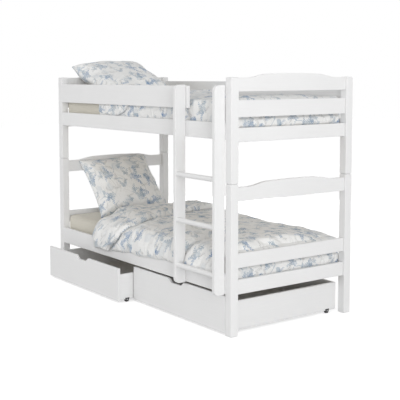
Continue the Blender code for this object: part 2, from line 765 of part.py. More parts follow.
def lower_duvet_route(share):
    """Across the bed at one place along it: over the mattress and down outside the side rail."""
    lay = LOWER.mattress_top() + DUVET_LAY_GAP
    back = MATTRESS_WIDTH / 2 - DUVET_SIDE_GAP
    front = MATTRESS_WIDTH / 2
    rail = BED_WIDTH / 2 + DUVET_LAY_GAP
    rail_top = LOWER_SIDE_RAIL[1]
    hem = lower_hem(share)
    slack = LOWER_DUVET_EDGE_LOFT / 2
    points = [(back, lay), (back / 2, lay), (0.0, lay), (-back / 2, lay), (-front + slack, lay),
              (-front - DUVET_LAY_GAP, lay - slack), (-rail + slack / 2, rail_top + 2 * slack),
              (-rail - slack / 2, rail_top), (-rail, (hem + rail_top) / 2), (-rail, hem)]
    return Route(points, LOWER_OUTWARD_SHARES)


def upper_duvet_route(share):
    """Across the bed at one place along it: over the mattress and down inside the side rail."""
    lay = UPPER.mattress_top() + DUVET_LAY_GAP
    back = MATTRESS_WIDTH / 2 - DUVET_SIDE_GAP
    front = MATTRESS_WIDTH / 2 + DUVET_LAY_GAP / 2
    slack = UPPER_DUVET_EDGE_LOFT
    points = [(back, lay), (back / 2, lay), (0.0, lay), (-back / 2, lay), (-front + slack, lay),
              (-front, lay - 2 * slack), (-front, (lay + UPPER_HEM_HEIGHT) / 2),
              (-front, UPPER_HEM_HEIGHT)]
    return Route(points, UPPER_OUTWARD_SHARES)


class Duvet:
    """One duvet: how thick it is where it lies flat and where it hangs, and its main folds."""

    def __init__(self, route, head_distance, cells, bend_cells, loft, edge_loft, turnback, ripple):
        self.route = route
        self.head_x = MATTRESS_HEAD_X + head_distance
        self.cells = cells
        self.bend_from = bend_cells[0] / cells[1]
        self.bend_to = bend_cells[1] / cells[1]
        self.loft = loft
        self.edge_loft = edge_loft
        self.turnback = turnback
        self.ripple = ripple

    def hang(self, across):
        """0 where the duvet lies on the mattress, 1 where it hangs."""
        return smooth_step((across - self.bend_from) / (self.bend_to - self.bend_from))

    def x_at(self, along, hang):
        """Where the duvet is along the bed: its flap stops short of the ladder's right stile."""
        flap_start = MATTRESS_HEAD_X + DUVET_FLAP_HEAD_DISTANCE
        start = self.head_x + (flap_start - self.head_x) * hang
        top_end = MATTRESS_FOOT_X - DUVET_LAY_GAP
        flap_end = LADDER_RIGHT_X - DUVET_FLAP_END_GAP
        end = top_end + (flap_end - top_end) * hang
        return start + (end - start) * along

    def thickness(self, along, across):
        """More over the middle and where the head end is turned back, less along the edges."""
        hang = self.hang(across)
        flat = self.loft + (self.edge_loft - self.loft) * hang
        turned = self.turnback * bump(along, TURNBACK_CENTRE_SHARE, TURNBACK_WIDTH_SHARE) * (1 - hang)
        wave = self.ripple * math.sin(2 * math.pi * DUVET_RIPPLES * along + math.pi * across)
        ends = 1 - bump(along, 1, THIN_END_SHARE) / 2
        return (flat + turned + wave * self.edge_loft / self.loft * (1 + hang)) * ends

    def inner(self, along, across):
        point, _ = self.route(along).at(across)
        return self.x_at(along, self.hang(across)), point.x, point.y

    def outer(self, along, across):
        point, way = self.route(along).at(across)
        point = point + way * self.thickness(along, across)
        return self.x_at(along, self.hang(across)), point.x, point.y


LOWER_DUVET = Duvet(lower_duvet_route, LOWER_DUVET_HEAD_DISTANCE, LOWER_DUVET_CELLS, LOWER_BEND_CELLS,
                    LOWER_DUVET_LOFT, LOWER_DUVET_EDGE_LOFT, LOWER_DUVET_TURNBACK, LOWER_DUVET_RIPPLE)
UPPER_DUVET = Duvet(upper_duvet_route, UPPER_DUVET_HEAD_DISTANCE, UPPER_DUVET_CELLS, UPPER_BEND_CELLS,
                    UPPER_DUVET_LOFT, UPPER_DUVET_EDGE_LOFT, UPPER_DUVET_TURNBACK, UPPER_DUVET_RIPPLE)


def foot_flap_mesh(name, tier, hem):
    """The part of a duvet that hangs between the mattress and the foot end's rails."""
    lay = tier.mattress_top() + DUVET_LAY_GAP
    foot = MATTRESS_FOOT_X + DUVET_LAY_GAP
    half_y = INNER_Y - FOOT_FLAP_SIDE_GAP
    thickness = FOOT_FLAP_THICKNESS
    path = Route([(foot - FOOT_FLAP_LAP, lay + SINK), (foot - thickness / 2, lay + SINK),
                  (foot, lay - thickness), (foot, (lay + hem) / 2), (foot, hem)], FLAP_OUTWARD_SHARES)

    def inner(along, across):
        point, _ = path.at(along)
        return point.x, half_y * (2 * across - 1), point.y

    def outer(along, across):
        point, way = path.at(along)
        point = point + way * thickness
        return point.x, half_y * (2 * across - 1), point.y

    return quilt_mesh(name, FOOT_FLAP_CELLS, inner, outer)


def make_duvet(shop, tier, parent, duvet, foot_hem):
    name = f"{tier.name}_duvet"
    mesh = quilt_mesh(name, duvet.cells, duvet.inner, duvet.outer)
    quilt = shop.piece(name, mesh, parent, "printed_cotton")
    shop.soften(quilt)
    flap_name = f"{name}_foot_flap"
    flap = shop.helper(flap_name, foot_flap_mesh(flap_name, tier, foot_hem), parent)
    shop.soften(flap)
    shop.combine(quilt, flap, "UNION")
    return quilt


def slot_for_stile(shop, quilt):
    """The lower duvet's flap is parted round the ladder's left stile."""
    top = LOWER.mattress_top() + LOWER_DUVET_LOFT + LOWER_DUVET_TURNBACK
    shop.cut(quilt, [block((LADDER_LEFT_X - STILE_SLOT_GAP, STILE_FRONT_Y, LOWER_HEM_HEIGHT - OVERRUN),
                           (LADDER_LEFT_X + STILE_THICKNESS + STILE_SLOT_GAP, STILE_BACK_Y + SINK, top))])


def stile_outline():
    """A stile from the side, its two front corners rounded."""
    radius = STILE_CORNER_RADIUS
    outline = [(STILE_BACK_Y, STILE_FOOT_HEIGHT), (STILE_BACK_Y, STILE_TOP_HEIGHT)]
    for start, height in ((90, STILE_TOP_HEIGHT - radius), (180, STILE_FOOT_HEIGHT + radius)):
        for step in range(STILE_CORNER_POINTS + 1):
            angle = math.radians(start + 90 * step / STILE_CORNER_POINTS)
            outline.append((STILE_FRONT_Y + radius + radius * math.cos(angle),
                            height + radius * math.sin(angle)))
    return outline


def make_ladder(shop, parent):
    inner_faces = {"left": LADDER_LEFT_X + STILE_THICKNESS, "right": LADDER_RIGHT_X}
    for x_name, face in inner_faces.items():
        name = f"ladder_stile_{x_name}"
        centre = face + SIDES_X[x_name] * STILE_THICKNESS / 2
        mesh = outline_mesh(name, stile_outline(), STILE_THICKNESS, PLANE_YZ, (centre, 0, 0))
        stile = shop.piece(name, mesh, parent, "white_paint")
        shop.ease_edges(stile)
        turn = Matrix.Rotation(math.radians(90 * SIDES_X[x_name]), 4, "Y")
        mouth = face - SIDES_X[x_name] * OVERRUN
        shop.cut(stile, [pin((mouth, RUNG_Y, height), OVERRUN + RUNG_TENON_LENGTH + FIT_GAP,
                             bore(RUNG_TENON_RADIUS), turn) for height in RUNG_HEIGHTS])
    half = (inner_faces["right"] - inner_faces["left"]) / 2 - SEAT_GAP
    tip = half + RUNG_TENON_LENGTH
    profile = [(0.0, tip), (RUNG_TENON_RADIUS, tip), (RUNG_TENON_RADIUS, half), (RUNG_RADIUS, half),
               (RUNG_RADIUS, -half), (RUNG_TENON_RADIUS, -half), (RUNG_TENON_RADIUS, -tip), (0.0, -tip)]
    middle = (inner_faces["left"] + inner_faces["right"]) / 2
    for index, height in enumerate(RUNG_HEIGHTS, start=1):
        name = f"ladder_rung_{index}"
        rung = shop.piece(name, profile_mesh(name, profile, False), parent, "white_paint",
                          (middle, RUNG_Y, height), AXIS_ALONG_X)
        shop.turn_profile(rung)


def drawer_front_outline():
    """A drawer front from the front, with the finger cut-out in its top edge."""
    half = DRAWER_WIDTH / 2
    low, high = DRAWER_FRONT
    falling = []
    for step in range(GRIP_CURVE_POINTS + 1):
        share = step / GRIP_CURVE_POINTS
        falling.append((GRIP_WIDTH / 2 - GRIP_CURVE_LENGTH * share,
                        high - GRIP_DEPTH * smooth_step(share)))
    return [(-half, low), (half, low), (half, high), *falling, *[(-x, z) for x, z in reversed(falling)],
            (-half, high)]


def wheel_places():
    """Where the wheels stand along a drawer's side, from the drawer's front."""
    return {"front": WHEEL_END_DISTANCE, "back": DRAWER_DEPTH - WHEEL_END_DISTANCE}


def drawer_side_centre():
    return DRAWER_WIDTH / 2 - DRAWER_SIDE_INSET - DRAWER_SIDE_THICKNESS / 2


def make_drawer_side(shop, drawer_name, parent, x_name):
    side = SIDES_X[x_name]
    centre = side * drawer_side_centre()
    half = DRAWER_SIDE_THICKNESS / 2
    name = f"{drawer_name}_side_{x_name}"
    body = block((centre - half, DRAWER_FRONT_THICKNESS + SEAT_GAP, DRAWER_SIDE[0]),
                 (centre + half, DRAWER_DEPTH, DRAWER_SIDE[1]))
    panel = shop.piece(name, shapes_mesh(name, [body]), parent, "white_paint")
    shop.ease_edges(panel)
    slot_half = WHEEL_WIDTH / 2 + WHEEL_SIDE_GAP
    slot_reach = WHEEL_RADIUS + WHEEL_RIM_GAP
    inner_face = centre - side * half
    groove_end = inner_face + side * GROOVE_DEPTH
    groove_mouth = inner_face - side * OVERRUN
    cuts = [block((min(groove_end, groove_mouth), DRAWER_FRONT_THICKNESS - OVERRUN,
                   DRAWER_BOTTOM_HEIGHT - FIT_GAP),
                  (max(groove_end, groove_mouth), DRAWER_DEPTH + OVERRUN,
                   DRAWER_BOTTOM_HEIGHT + DRAWER_BOTTOM_THICKNESS + FIT_GAP))]
    axles = []
    for y in wheel_places().values():
        cuts.append(block((centre - slot_half, y - slot_reach, DRAWER_SIDE[0] - OVERRUN),
                          (centre + slot_half, y + slot_reach, WHEEL_RADIUS + slot_reach)))
        axles.append(pin((centre - slot_half - AXLE_GRIP, y, WHEEL_RADIUS), 2 * (slot_half + AXLE_GRIP),
                         AXLE_RADIUS, AXIS_ALONG_X))
    shop.cut(panel, cuts)
    shop.join(panel, axles)


def make_drawer(shop, drawer_name, parent):
    half_side = DRAWER_SIDE_THICKNESS / 2
    inner = drawer_side_centre() - half_side
    bottom_top = DRAWER_BOTTOM_HEIGHT + DRAWER_BOTTOM_THICKNESS
    groove_half = inner + GROOVE_DEPTH
    name = f"{drawer_name}_front"
    mesh = outline_mesh(name, drawer_front_outline(), DRAWER_FRONT_THICKNESS, PLANE_XZ,
                        (0, DRAWER_FRONT_THICKNESS / 2, 0))
    front = shop.piece(name, mesh, parent, "white_paint")
    shop.ease_edges(front)
    groove_floor = DRAWER_FRONT_THICKNESS - GROOVE_DEPTH
    shop.cut(front, [block((-groove_half, groove_floor, DRAWER_BOTTOM_HEIGHT - FIT_GAP),
                           (groove_half, DRAWER_FRONT_THICKNESS + OVERRUN, bottom_top + FIT_GAP))])
    for x_name in SIDES_X:
        make_drawer_side(shop, drawer_name, parent, x_name)
    name = f"{drawer_name}_back"
    body = block((SEAT_GAP - inner, DRAWER_DEPTH - DRAWER_BACK_THICKNESS, bottom_top + SEAT_GAP),
                 (inner - SEAT_GAP, DRAWER_DEPTH, DRAWER_SIDE[1]))
    shop.ease_edges(shop.piece(name, shapes_mesh(name, [body]), parent, "white_paint"))
    name = f"{drawer_name}_bottom"
    body = block((FIT_GAP - groove_half, groove_floor + FIT_GAP, DRAWER_BOTTOM_HEIGHT),
                 (groove_half - FIT_GAP, DRAWER_DEPTH, bottom_top))
    shop.piece(name, shapes_mesh(name, [body]), parent, "white_paint")


def make_wheels(shop, drawer_name, parent):
    """Turned wheels with a bore, each with its origin on its axle."""
    hole = AXLE_RADIUS + FIT_GAP
    half = WHEEL_WIDTH / 2
    rim = WHEEL_RADIUS - WHEEL_ROUND
    profile = [(hole, half), (rim, half), (WHEEL_RADIUS, half - WHEEL_ROUND),
               (WHEEL_RADIUS, WHEEL_ROUND - half), (rim, -half), (hole, -half)]
    for y_name, y in wheel_places().items():
        for x_name, side in SIDES_X.items():
            name = f"{drawer_name}_wheel_{y_name}_{x_name}"
            wheel = shop.piece(name, profile_mesh(name, profile, True), parent, "black_plastic",
                               (side * drawer_side_centre(), y, WHEEL_RADIUS), AXIS_ALONG_X)
            shop.turn_profile(wheel)


def make_bed(shop, tier, parent):
    for x_name in SIDES_X:
        for y_name in SIDES_Y:
            make_post(shop, tier, parent, x_name, y_name)
        for kind in tier.end_rails:
            make_end_rail(shop, tier, parent, x_name, kind)
    for y_name in SIDES_Y:
        make_side_rail(shop, tier, parent, y_name)
    make_slat_base(shop, tier, parent)
    make_mattress(shop, tier, parent)


def main():
    clear_scene()
    shop = Workshop()
    lower_bed = shop.empty("lower_bed", (0, DRAWER_OPEN / 2, 0), None)
    make_bed(shop, LOWER, lower_bed)
    make_pillow(shop, LOWER, lower_bed, LOWER_PILLOW_LEAN, LOWER_PILLOW_Y)
    lower_duvet = make_duvet(shop, LOWER, lower_bed, LOWER_DUVET, LOWER_BOTTOM_RAIL[1])
    slot_for_stile(shop, lower_duvet)
    settle(lower_duvet, (0, 0, -1), [shop.made["lower_mattress"], shop.made["lower_side_rail_front"]])

    upper_bed = shop.empty("upper_bed", (0, 0, 0), lower_bed)
    make_bed(shop, UPPER, upper_bed)
    make_pillow(shop, UPPER, upper_bed, UPPER_PILLOW_LEAN, UPPER_PILLOW_Y)
    upper_duvet = make_duvet(shop, UPPER, upper_bed, UPPER_DUVET, UPPER_BOTTOM_RAIL[1])
    settle(upper_duvet, (0, 0, -1), [shop.made["upper_mattress"]])
    make_guard(shop, upper_bed, "front", FRONT_GUARD,
               LADDER_LEFT_X + STILE_THICKNESS + FRONT_GUARD_PAST_STILE, (-1,))
    make_guard(shop, upper_bed, "back", BACK_GUARD, INNER_X - SEAT_GAP, (-1, 1))
    make_ladder(shop, upper_bed)

    for x_name, opened in (("left", DRAWER_OPEN), ("right", 0.0)):
        drawer_name = f"drawer_{x_name}"
        slide = shop.empty(drawer_name, (SIDES_X[x_name] * DRAWER_CENTRE_X, -BED_WIDTH / 2 - opened, 0),
                           lower_bed)
        make_drawer(shop, drawer_name, slide)
        make_wheels(shop, drawer_name, slide)
    bpy.context.view_layer.update()


main()
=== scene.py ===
"""Looks for the separable bunk bed: painted wood, slatted bases, mattresses, printed bedding and castors.

Everything is in metres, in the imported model's own frame: Z up, X along the bed, the front towards -Y.
"""

import math

import bmesh
import bpy
from mathutils import Matrix, Vector, noise
from mathutils.bvhtree import BVHTree


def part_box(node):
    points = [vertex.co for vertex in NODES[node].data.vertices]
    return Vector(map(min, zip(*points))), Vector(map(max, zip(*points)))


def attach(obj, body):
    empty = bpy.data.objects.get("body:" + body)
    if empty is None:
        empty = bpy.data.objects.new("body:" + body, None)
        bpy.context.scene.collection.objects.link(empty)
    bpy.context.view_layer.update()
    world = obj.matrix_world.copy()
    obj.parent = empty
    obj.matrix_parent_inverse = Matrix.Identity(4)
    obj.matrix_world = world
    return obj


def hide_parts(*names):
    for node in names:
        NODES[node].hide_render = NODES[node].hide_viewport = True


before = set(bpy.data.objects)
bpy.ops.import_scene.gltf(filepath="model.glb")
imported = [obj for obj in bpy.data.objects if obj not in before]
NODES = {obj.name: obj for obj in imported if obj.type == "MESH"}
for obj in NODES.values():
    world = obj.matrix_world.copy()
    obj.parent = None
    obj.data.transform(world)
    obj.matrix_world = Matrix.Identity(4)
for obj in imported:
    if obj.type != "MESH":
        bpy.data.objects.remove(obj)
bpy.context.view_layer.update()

# Camera, fitted to the posts, rails and drawers of the photograph
CAMERA_PLACE = (4.8808, -3.5501, 1.5035)
CAMERA_YAW = math.radians(55.27)
CAMERA_PITCH = math.radians(-4.78)
CAMERA_ROLL = math.radians(-0.19)
CAMERA_LENS = 78.9
CAMERA_SENSOR = 36
CAMERA_SHIFT = (0.0875, -0.125)

# Lamps: place, aim, power and size of each softbox
SOFTBOXES = {
    "key": ((3.4, -1.1, 2.4), (1.0, 0.0, 0.8), 16.0, 1.6),
    "front": ((-0.6, -3.5, 2.0), (-0.3, -0.4, 0.8), 18.0, 1.8),
    "fill": ((11.5, -5.2, 2.0), (0.0, 0.0, 0.8), 390.0, 4.0),
    "rear": ((-3.3, 3.7, 0.7), (0.0, 0.0, 0.8), 60.0, 1.2),
}
FLOOR_REACH = 20
FLOOR_GLOW = 0.62

# Light of the surround: the side that it comes from, then two spans of strength, by height and by side
SURROUND_SIDE = (0.81, -0.59)
SURROUND_BY_HEIGHT = (0.10, 0.80, 0.93, 0.56)
SURROUND_BY_SIDE = (-0.8, 0.8, 0.66, 1.09)

# Colours
WHITE = (1, 1, 1, 1)
FLOOR_GREY = (0.70, 0.70, 0.70, 1)
PAINT_WHITE = (0.81, 0.81, 0.81, 1)
PINE = (0.72, 0.62, 0.48, 1)
PINE_DARK = (0.55, 0.42, 0.28, 1)
TICKING = (0.68, 0.65, 0.57, 1)
PIPING = (0.70, 0.675, 0.60, 1)
COTTON_GROUND = (0.87, 0.87, 0.86, 1)
LEAF_BLUE = (0.12, 0.24, 0.43, 1)
LEAF_GREY = (0.31, 0.40, 0.48, 1)
LEAF_SAND = (0.56, 0.56, 0.55, 1)
THREAD_SHADE = (0.35, 0.35, 0.35, 1)
RUBBER_BLACK = (0.018, 0.018, 0.019, 1)
RUBBER_RUBBED = (0.045, 0.044, 0.042, 1)
STEEL = (0.55, 0.55, 0.56, 1)
STEEL_DULL = (0.42, 0.42, 0.43, 1)

# Cloth simulation
CLOTH_FRAMES = 20
CLOTH_QUALITY = 5
CLOTH_MASS = 0.3
CLOTH_STIFFNESS = 12.0
CLOTH_BENDING = 0.3

# Bedding in general
CELL = 0.016
EDGE_SEAM = 0.003
LAY_GAP = 0.002
CLEAR_GAP = 0.001
CLEAR_REACH = 0.06
NEARLY = 1e-4

# Where each printed piece starts on the plan of its cloth
PRINT_STARTS = {"pillow": (0.7, 1.3), "top": (2.0, 0.4), "turnback": (4.0, 0.7), "foot": (2.9, 0.84),
                "corner": (5.2, 0.3)}


# Node sheets

class NodeSheet:
    """Short calls that lay out nodes in one tree."""

    def __init__(self, tree):
        self.tree = tree

    def feed(self, socket, value):
        if isinstance(value, bpy.types.NodeSocket):
            self.tree.links.new(value, socket)
        else:
            socket.default_value = value

    def add(self, kind, inputs=None, **settings):
        """A node with these settings, and with a value or a link at each named input."""
        node = self.tree.nodes.new(kind)
        for name, value in settings.items():
            setattr(node, name, value)
        for name, value in (inputs or {}).items():
            self.feed(node.inputs[name], value)
        return node

    def worked(self, kind, operation, values):
        node = self.add(kind, operation=operation)
        for socket, value in zip(node.inputs, values):
            self.feed(socket, value)
        return node.outputs[0]

    def math(self, operation, *values):
        return self.worked("ShaderNodeMath", operation, values)

    def vector(self, operation, *values):
        return self.worked("ShaderNodeVectorMath", operation, values)

    def plus(self, first, second):
        return self.math("ADD", first, second)

    def minus(self, first, second):
        return self.math("SUBTRACT", first, second)

    def times(self, first, second):
        return self.math("MULTIPLY", first, second)

    def over(self, first, second):
        return self.math("DIVIDE", first, second)

    def larger(self, first, second):
        return self.math("MAXIMUM", first, second)

    def amount(self, value):
        return self.math("ABSOLUTE", value)

    def reach(self, x, y):
        """How far a point lies from its middle."""
        return self.math("SQRT", self.plus(self.times(x, x), self.times(y, y)))

    def turned(self, x, y, angle):
        """The same point on axes that are turned by a fixed angle."""
        cosine = math.cos(angle)
        sine = math.sin(angle)
        return (self.plus(self.times(x, cosine), self.times(y, sine)),
                self.minus(self.times(y, cosine), self.times(x, sine)))

    def scale(self, vector, factor):
        node = self.add("ShaderNodeVectorMath", {"Vector": vector, "Scale": factor}, operation="SCALE")
        return node.outputs[0]

    def span(self, value, low, high, to_low, to_high, **settings):
        """Stretch what lies between low and high to the new ends."""
        return self.add("ShaderNodeMapRange", {"Value": value, "From Min": low, "From Max": high,
                                               "To Min": to_low, "To Max": to_high}, **settings).outputs[0]

    def step(self, value, low, high):
        """0 below low, 1 above high, smooth between them; low may be above high."""
        return self.span(value, low, high, 0.0, 1.0, interpolation_type="SMOOTHSTEP")

    def mix(self, factor, first, second):
        """A colour between two, whose sockets on this node have only their order to go by."""
        node = self.add("ShaderNodeMix", data_type="RGBA")
        for index, value in ((0, factor), (6, first), (7, second)):
            self.feed(node.inputs[index], value)
        return node.outputs[2]

    def noise(self, vector, scale, detail=2.0, roughness=0.5, distortion=0.0):
        return self.add("ShaderNodeTexNoise", {"Vector": vector, "Scale": scale, "Detail": detail,
                                               "Roughness": roughness, "Distortion": distortion}).outputs[0]

    def split(self, vector):
        return self.add("ShaderNodeSeparateXYZ", {"Vector": vector}).outputs

    def join(self, x, y, z):
        return self.add("ShaderNodeCombineXYZ", {"X": x, "Y": y, "Z": z}).outputs[0]

    def put_out(self, sockets, **values):
        """Feed a group's named outputs and give back its tree."""
        for name, value in values.items():
            self.feed(sockets[name], value)
        return self.tree


SOCKETS = {"vector": "NodeSocketVector", "value": "NodeSocketFloat", "colour": "NodeSocketColor",
           "geometry": "NodeSocketGeometry", "material": "NodeSocketMaterial"}


def node_group(name, kind, inputs, outputs):
    """An empty group with named sockets: its sheet, its input sockets and its output sockets."""
    tree = bpy.data.node_groups.new(name, kind)
    for label, sort, value in inputs:
        socket = tree.interface.new_socket(name=label, in_out="INPUT", socket_type=SOCKETS[sort])
        if value is not None:
            socket.default_value = value
    for label, sort in outputs:
        tree.interface.new_socket(name=label, in_out="OUTPUT", socket_type=SOCKETS[sort])
    sheet = NodeSheet(tree)
    return sheet, sheet.add("NodeGroupInput").outputs, sheet.add("NodeGroupOutput").inputs


# Shader groups

def brushed_paint_group():
    """Satin lacquer over sanded wood: faint streaks along the board and a soft change of tone."""
    sheet, given, out = node_group(
        "brushed_paint", "ShaderNodeTree",
        [("Vector", "vector", None), ("Streaks", "vector", (1, 1, 1)), ("Colour", "colour", WHITE)],
        [("Colour", "colour"), ("Roughness", "value"), ("Height", "value")])
    streaks = sheet.noise(sheet.vector("MULTIPLY", given["Vector"], given["Streaks"]), 1.0, 4.0, 0.6)
    tone = sheet.noise(given["Vector"], 2.4, 3.0)
    peel = sheet.noise(given["Vector"], 420.0, 1.0)
    shade = sheet.plus(sheet.times(tone, 0.6), sheet.times(streaks, 0.4))
    dull = sheet.scale(given["Colour"], 0.975)
    return sheet.put_out(
        out, Colour=sheet.mix(sheet.step(shade, 0.38, 0.60), dull, given["Colour"]),
        Roughness=sheet.span(streaks, 0.2, 0.8, 0.36, 0.52),
        Height=sheet.plus(streaks, sheet.times(peel, 0.25)))


def weave_group():
    """Plain weave: threads that pass over and under each other, with a few thicker ones."""
    sheet, given, out = node_group(
        "plain_weave", "ShaderNodeTree", [("Vector", "vector", None), ("Pitch", "value", 0.0006)],
        [("Height", "value"), ("Slub", "value")])
    turns = sheet.over(2 * math.pi, given["Pitch"])
    x, y, _ = sheet.split(given["Vector"])
    over = sheet.times(sheet.math("SINE", sheet.times(x, turns)), sheet.math("SINE", sheet.times(y, turns)))
    fine = 900.0
    long = 12.0
    warp = sheet.noise(sheet.join(sheet.times(x, fine), sheet.times(y, long), 0.0), 1.0)
    weft = sheet.noise(sheet.join(sheet.times(x, long), sheet.times(y, fine), 4.0), 1.0)
    slub = sheet.plus(warp, weft)
    return sheet.put_out(out, Slub=sheet.span(slub, 0.6, 1.4, 0.0, 1.0), Height=sheet.plus(over, slub))


def crease_group():
    """Small soft creases: ridges where two slow noises cross their middle value."""
    sheet, given, out = node_group(
        "soft_creases", "ShaderNodeTree", [("Vector", "vector", None), ("Scale", "value", 6.0)],
        [("Height", "value")])
    broad = sheet.noise(given["Vector"], given["Scale"], 3.0, 0.5, 1.2)
    fine = sheet.noise(given["Vector"], sheet.times(given["Scale"], 3.1), 2.0, 0.5, 0.8)
    broad_ridge = sheet.step(sheet.amount(sheet.minus(broad, 0.5)), 0.10, 0.0)
    fine_ridge = sheet.step(sheet.amount(sheet.minus(fine, 0.5)), 0.12, 0.0)
    return sheet.put_out(out, Height=sheet.plus(broad_ridge, sheet.times(fine_ridge, 0.35)))


# Printed motifs. Sprays and fans have a length, the pitch, size and tilt of their leaves, and a stem's bend
SAND_SPRAY = {"half_length": 0.026, "pitch": 0.011, "leaf": (0.0080, 0.0030),
              "tilt": math.radians(42), "bend": 9.0}
GREY_FAN = {"angles": (-0.45, 0.40), "length": 0.050, "pitch": 0.0125, "leaf": (0.0100, 0.0034),
            "tilt": math.radians(38), "bend": 6.0}
BLUE_FAN = {"angles": (-1.15, -0.25, 0.75), "length": 0.074, "pitch": 0.0150, "leaf": (0.0135, 0.0044),
            "tilt": math.radians(36), "bend": 4.5}
SECOND_FAN = {"angles": (-0.6, 0.5), "length": 0.060, "pitch": 0.0135, "leaf": (0.0120, 0.0040),
              "tilt": math.radians(34), "bend": -5.0}
FLOWER = {"radius": 0.021, "petals": 5}
FLOWER_PLACE = (-0.012, 0.004)
PUDDLE_RADII = (0.052, 0.036)
PUDDLE_RAG = 0.03
STEM_HALF_WIDTHS = (0.0011, 0.0005)
PRINT_WOBBLE = 0.010

# How each motif is scattered: the pitch of its places, their shift and how far they stray
SAND_PLACES = (0.064, (0.31, 0.17, 0.0), 0.8)
GREY_PLACES = (0.098, (0.05, 0.42, 0.0), 0.75)
BLUE_PLACES = (0.158, (0.0, 0.0, 0.0), 0.5)
SECOND_PLACES = (0.158, (0.079, 0.083, 0.0), 0.5)
PUDDLE_PLACES = (0.118, (0.02, 0.06, 0.0), 0.7)


def scattered(sheet, vector, pitch, shift, stray):
    """One local frame for each scattered motif: its own X and Y in metres, and its random values."""
    moved = sheet.vector("ADD", vector, shift)
    cells = sheet.add("ShaderNodeTexVoronoi", {"Vector": moved, "Scale": 1 / pitch, "Randomness": stray},
                      voronoi_dimensions="2D")
    local = sheet.vector("SUBTRACT", moved, cells.outputs["Position"])
    luck = sheet.split(cells.outputs["Color"])
    turn = sheet.add("ShaderNodeVectorRotate", {"Vector": local, "Angle": sheet.times(luck[0], 2 * math.pi)},
                     rotation_type="Z_AXIS")
    x, y, _ = sheet.split(turn.outputs[0])
    return x, y, luck


def spray(sheet, x, y, half_length, pitch, leaf, tilt, bend):
    """A curved stem with leaves on alternate sides that get smaller to its tip."""
    curve = sheet.minus(y, sheet.times(sheet.times(x, x), bend))
    side = sheet.math("GREATER_THAN", curve, 0.0)
    beside = sheet.amount(curve)
    shifted = sheet.plus(x, sheet.times(side, pitch / 2))
    place = sheet.minus(sheet.math("FLOORED_MODULO", shifted, pitch), pitch / 2)
    taper = sheet.span(x, -half_length, half_length, 1.0, 0.45)
    length = sheet.times(taper, leaf[0])
    width = sheet.times(taper, leaf[1])
    along, across = sheet.turned(place, sheet.minus(beside, sheet.times(length, math.sin(tilt))), tilt)
    reach = sheet.over(along, length)
    spread = sheet.over(across, width)
    edge = sheet.plus(sheet.times(reach, reach), sheet.times(spread, spread))
    leaves = sheet.step(edge, 1.15, 0.75)
    vein = sheet.step(sheet.amount(spread), 0.05, 0.22)
    within = sheet.step(sheet.amount(x), half_length, half_length * 0.94)
    stem = sheet.step(beside, *STEM_HALF_WIDTHS)
    drawn = sheet.larger(sheet.times(leaves, sheet.span(vein, 0.0, 1.0, 0.6, 1.0)), stem)
    return sheet.times(drawn, within)


def blossom(sheet, x, y, radius, petals):
    """An open flower: petals with a darker rim and a round eye."""
    distance = sheet.reach(x, y)
    angle = sheet.math("ARCTAN2", y, x)
    lobes = sheet.amount(sheet.math("COSINE", sheet.times(angle, petals / 2)))
    rim = sheet.times(sheet.span(lobes, 0.0, 1.0, 0.50, 1.0), radius)
    share = sheet.over(distance, rim)
    inside = sheet.step(share, 1.02, 0.92)
    wash = sheet.step(share, 0.25, 1.0)
    line = sheet.times(sheet.step(lobes, 0.30, 0.05), sheet.step(share, 0.2, 0.4))
    eye = sheet.step(distance, radius * 0.16, radius * 0.12)
    tint = sheet.larger(sheet.span(wash, 0.0, 1.0, 0.25, 0.8), sheet.larger(line, eye))
    return sheet.times(inside, tint)


def fan(sheet, x, y, angles, length, pitch, leaf, tilt, bend):
    """Several sprays that spread from one foot, the outer ones shorter."""
    drawn = None
    for angle in angles:
        turned_x, turned_y = sheet.turned(x, y, angle)
        half = length * (1 - 0.12 * abs(angle)) / 2
        part = spray(sheet, sheet.minus(turned_x, half), turned_y, half, pitch, leaf, tilt,
                     bend * (1 if angle >= 0 else -1))
        drawn = part if drawn is None else sheet.larger(drawn, part)
    return drawn


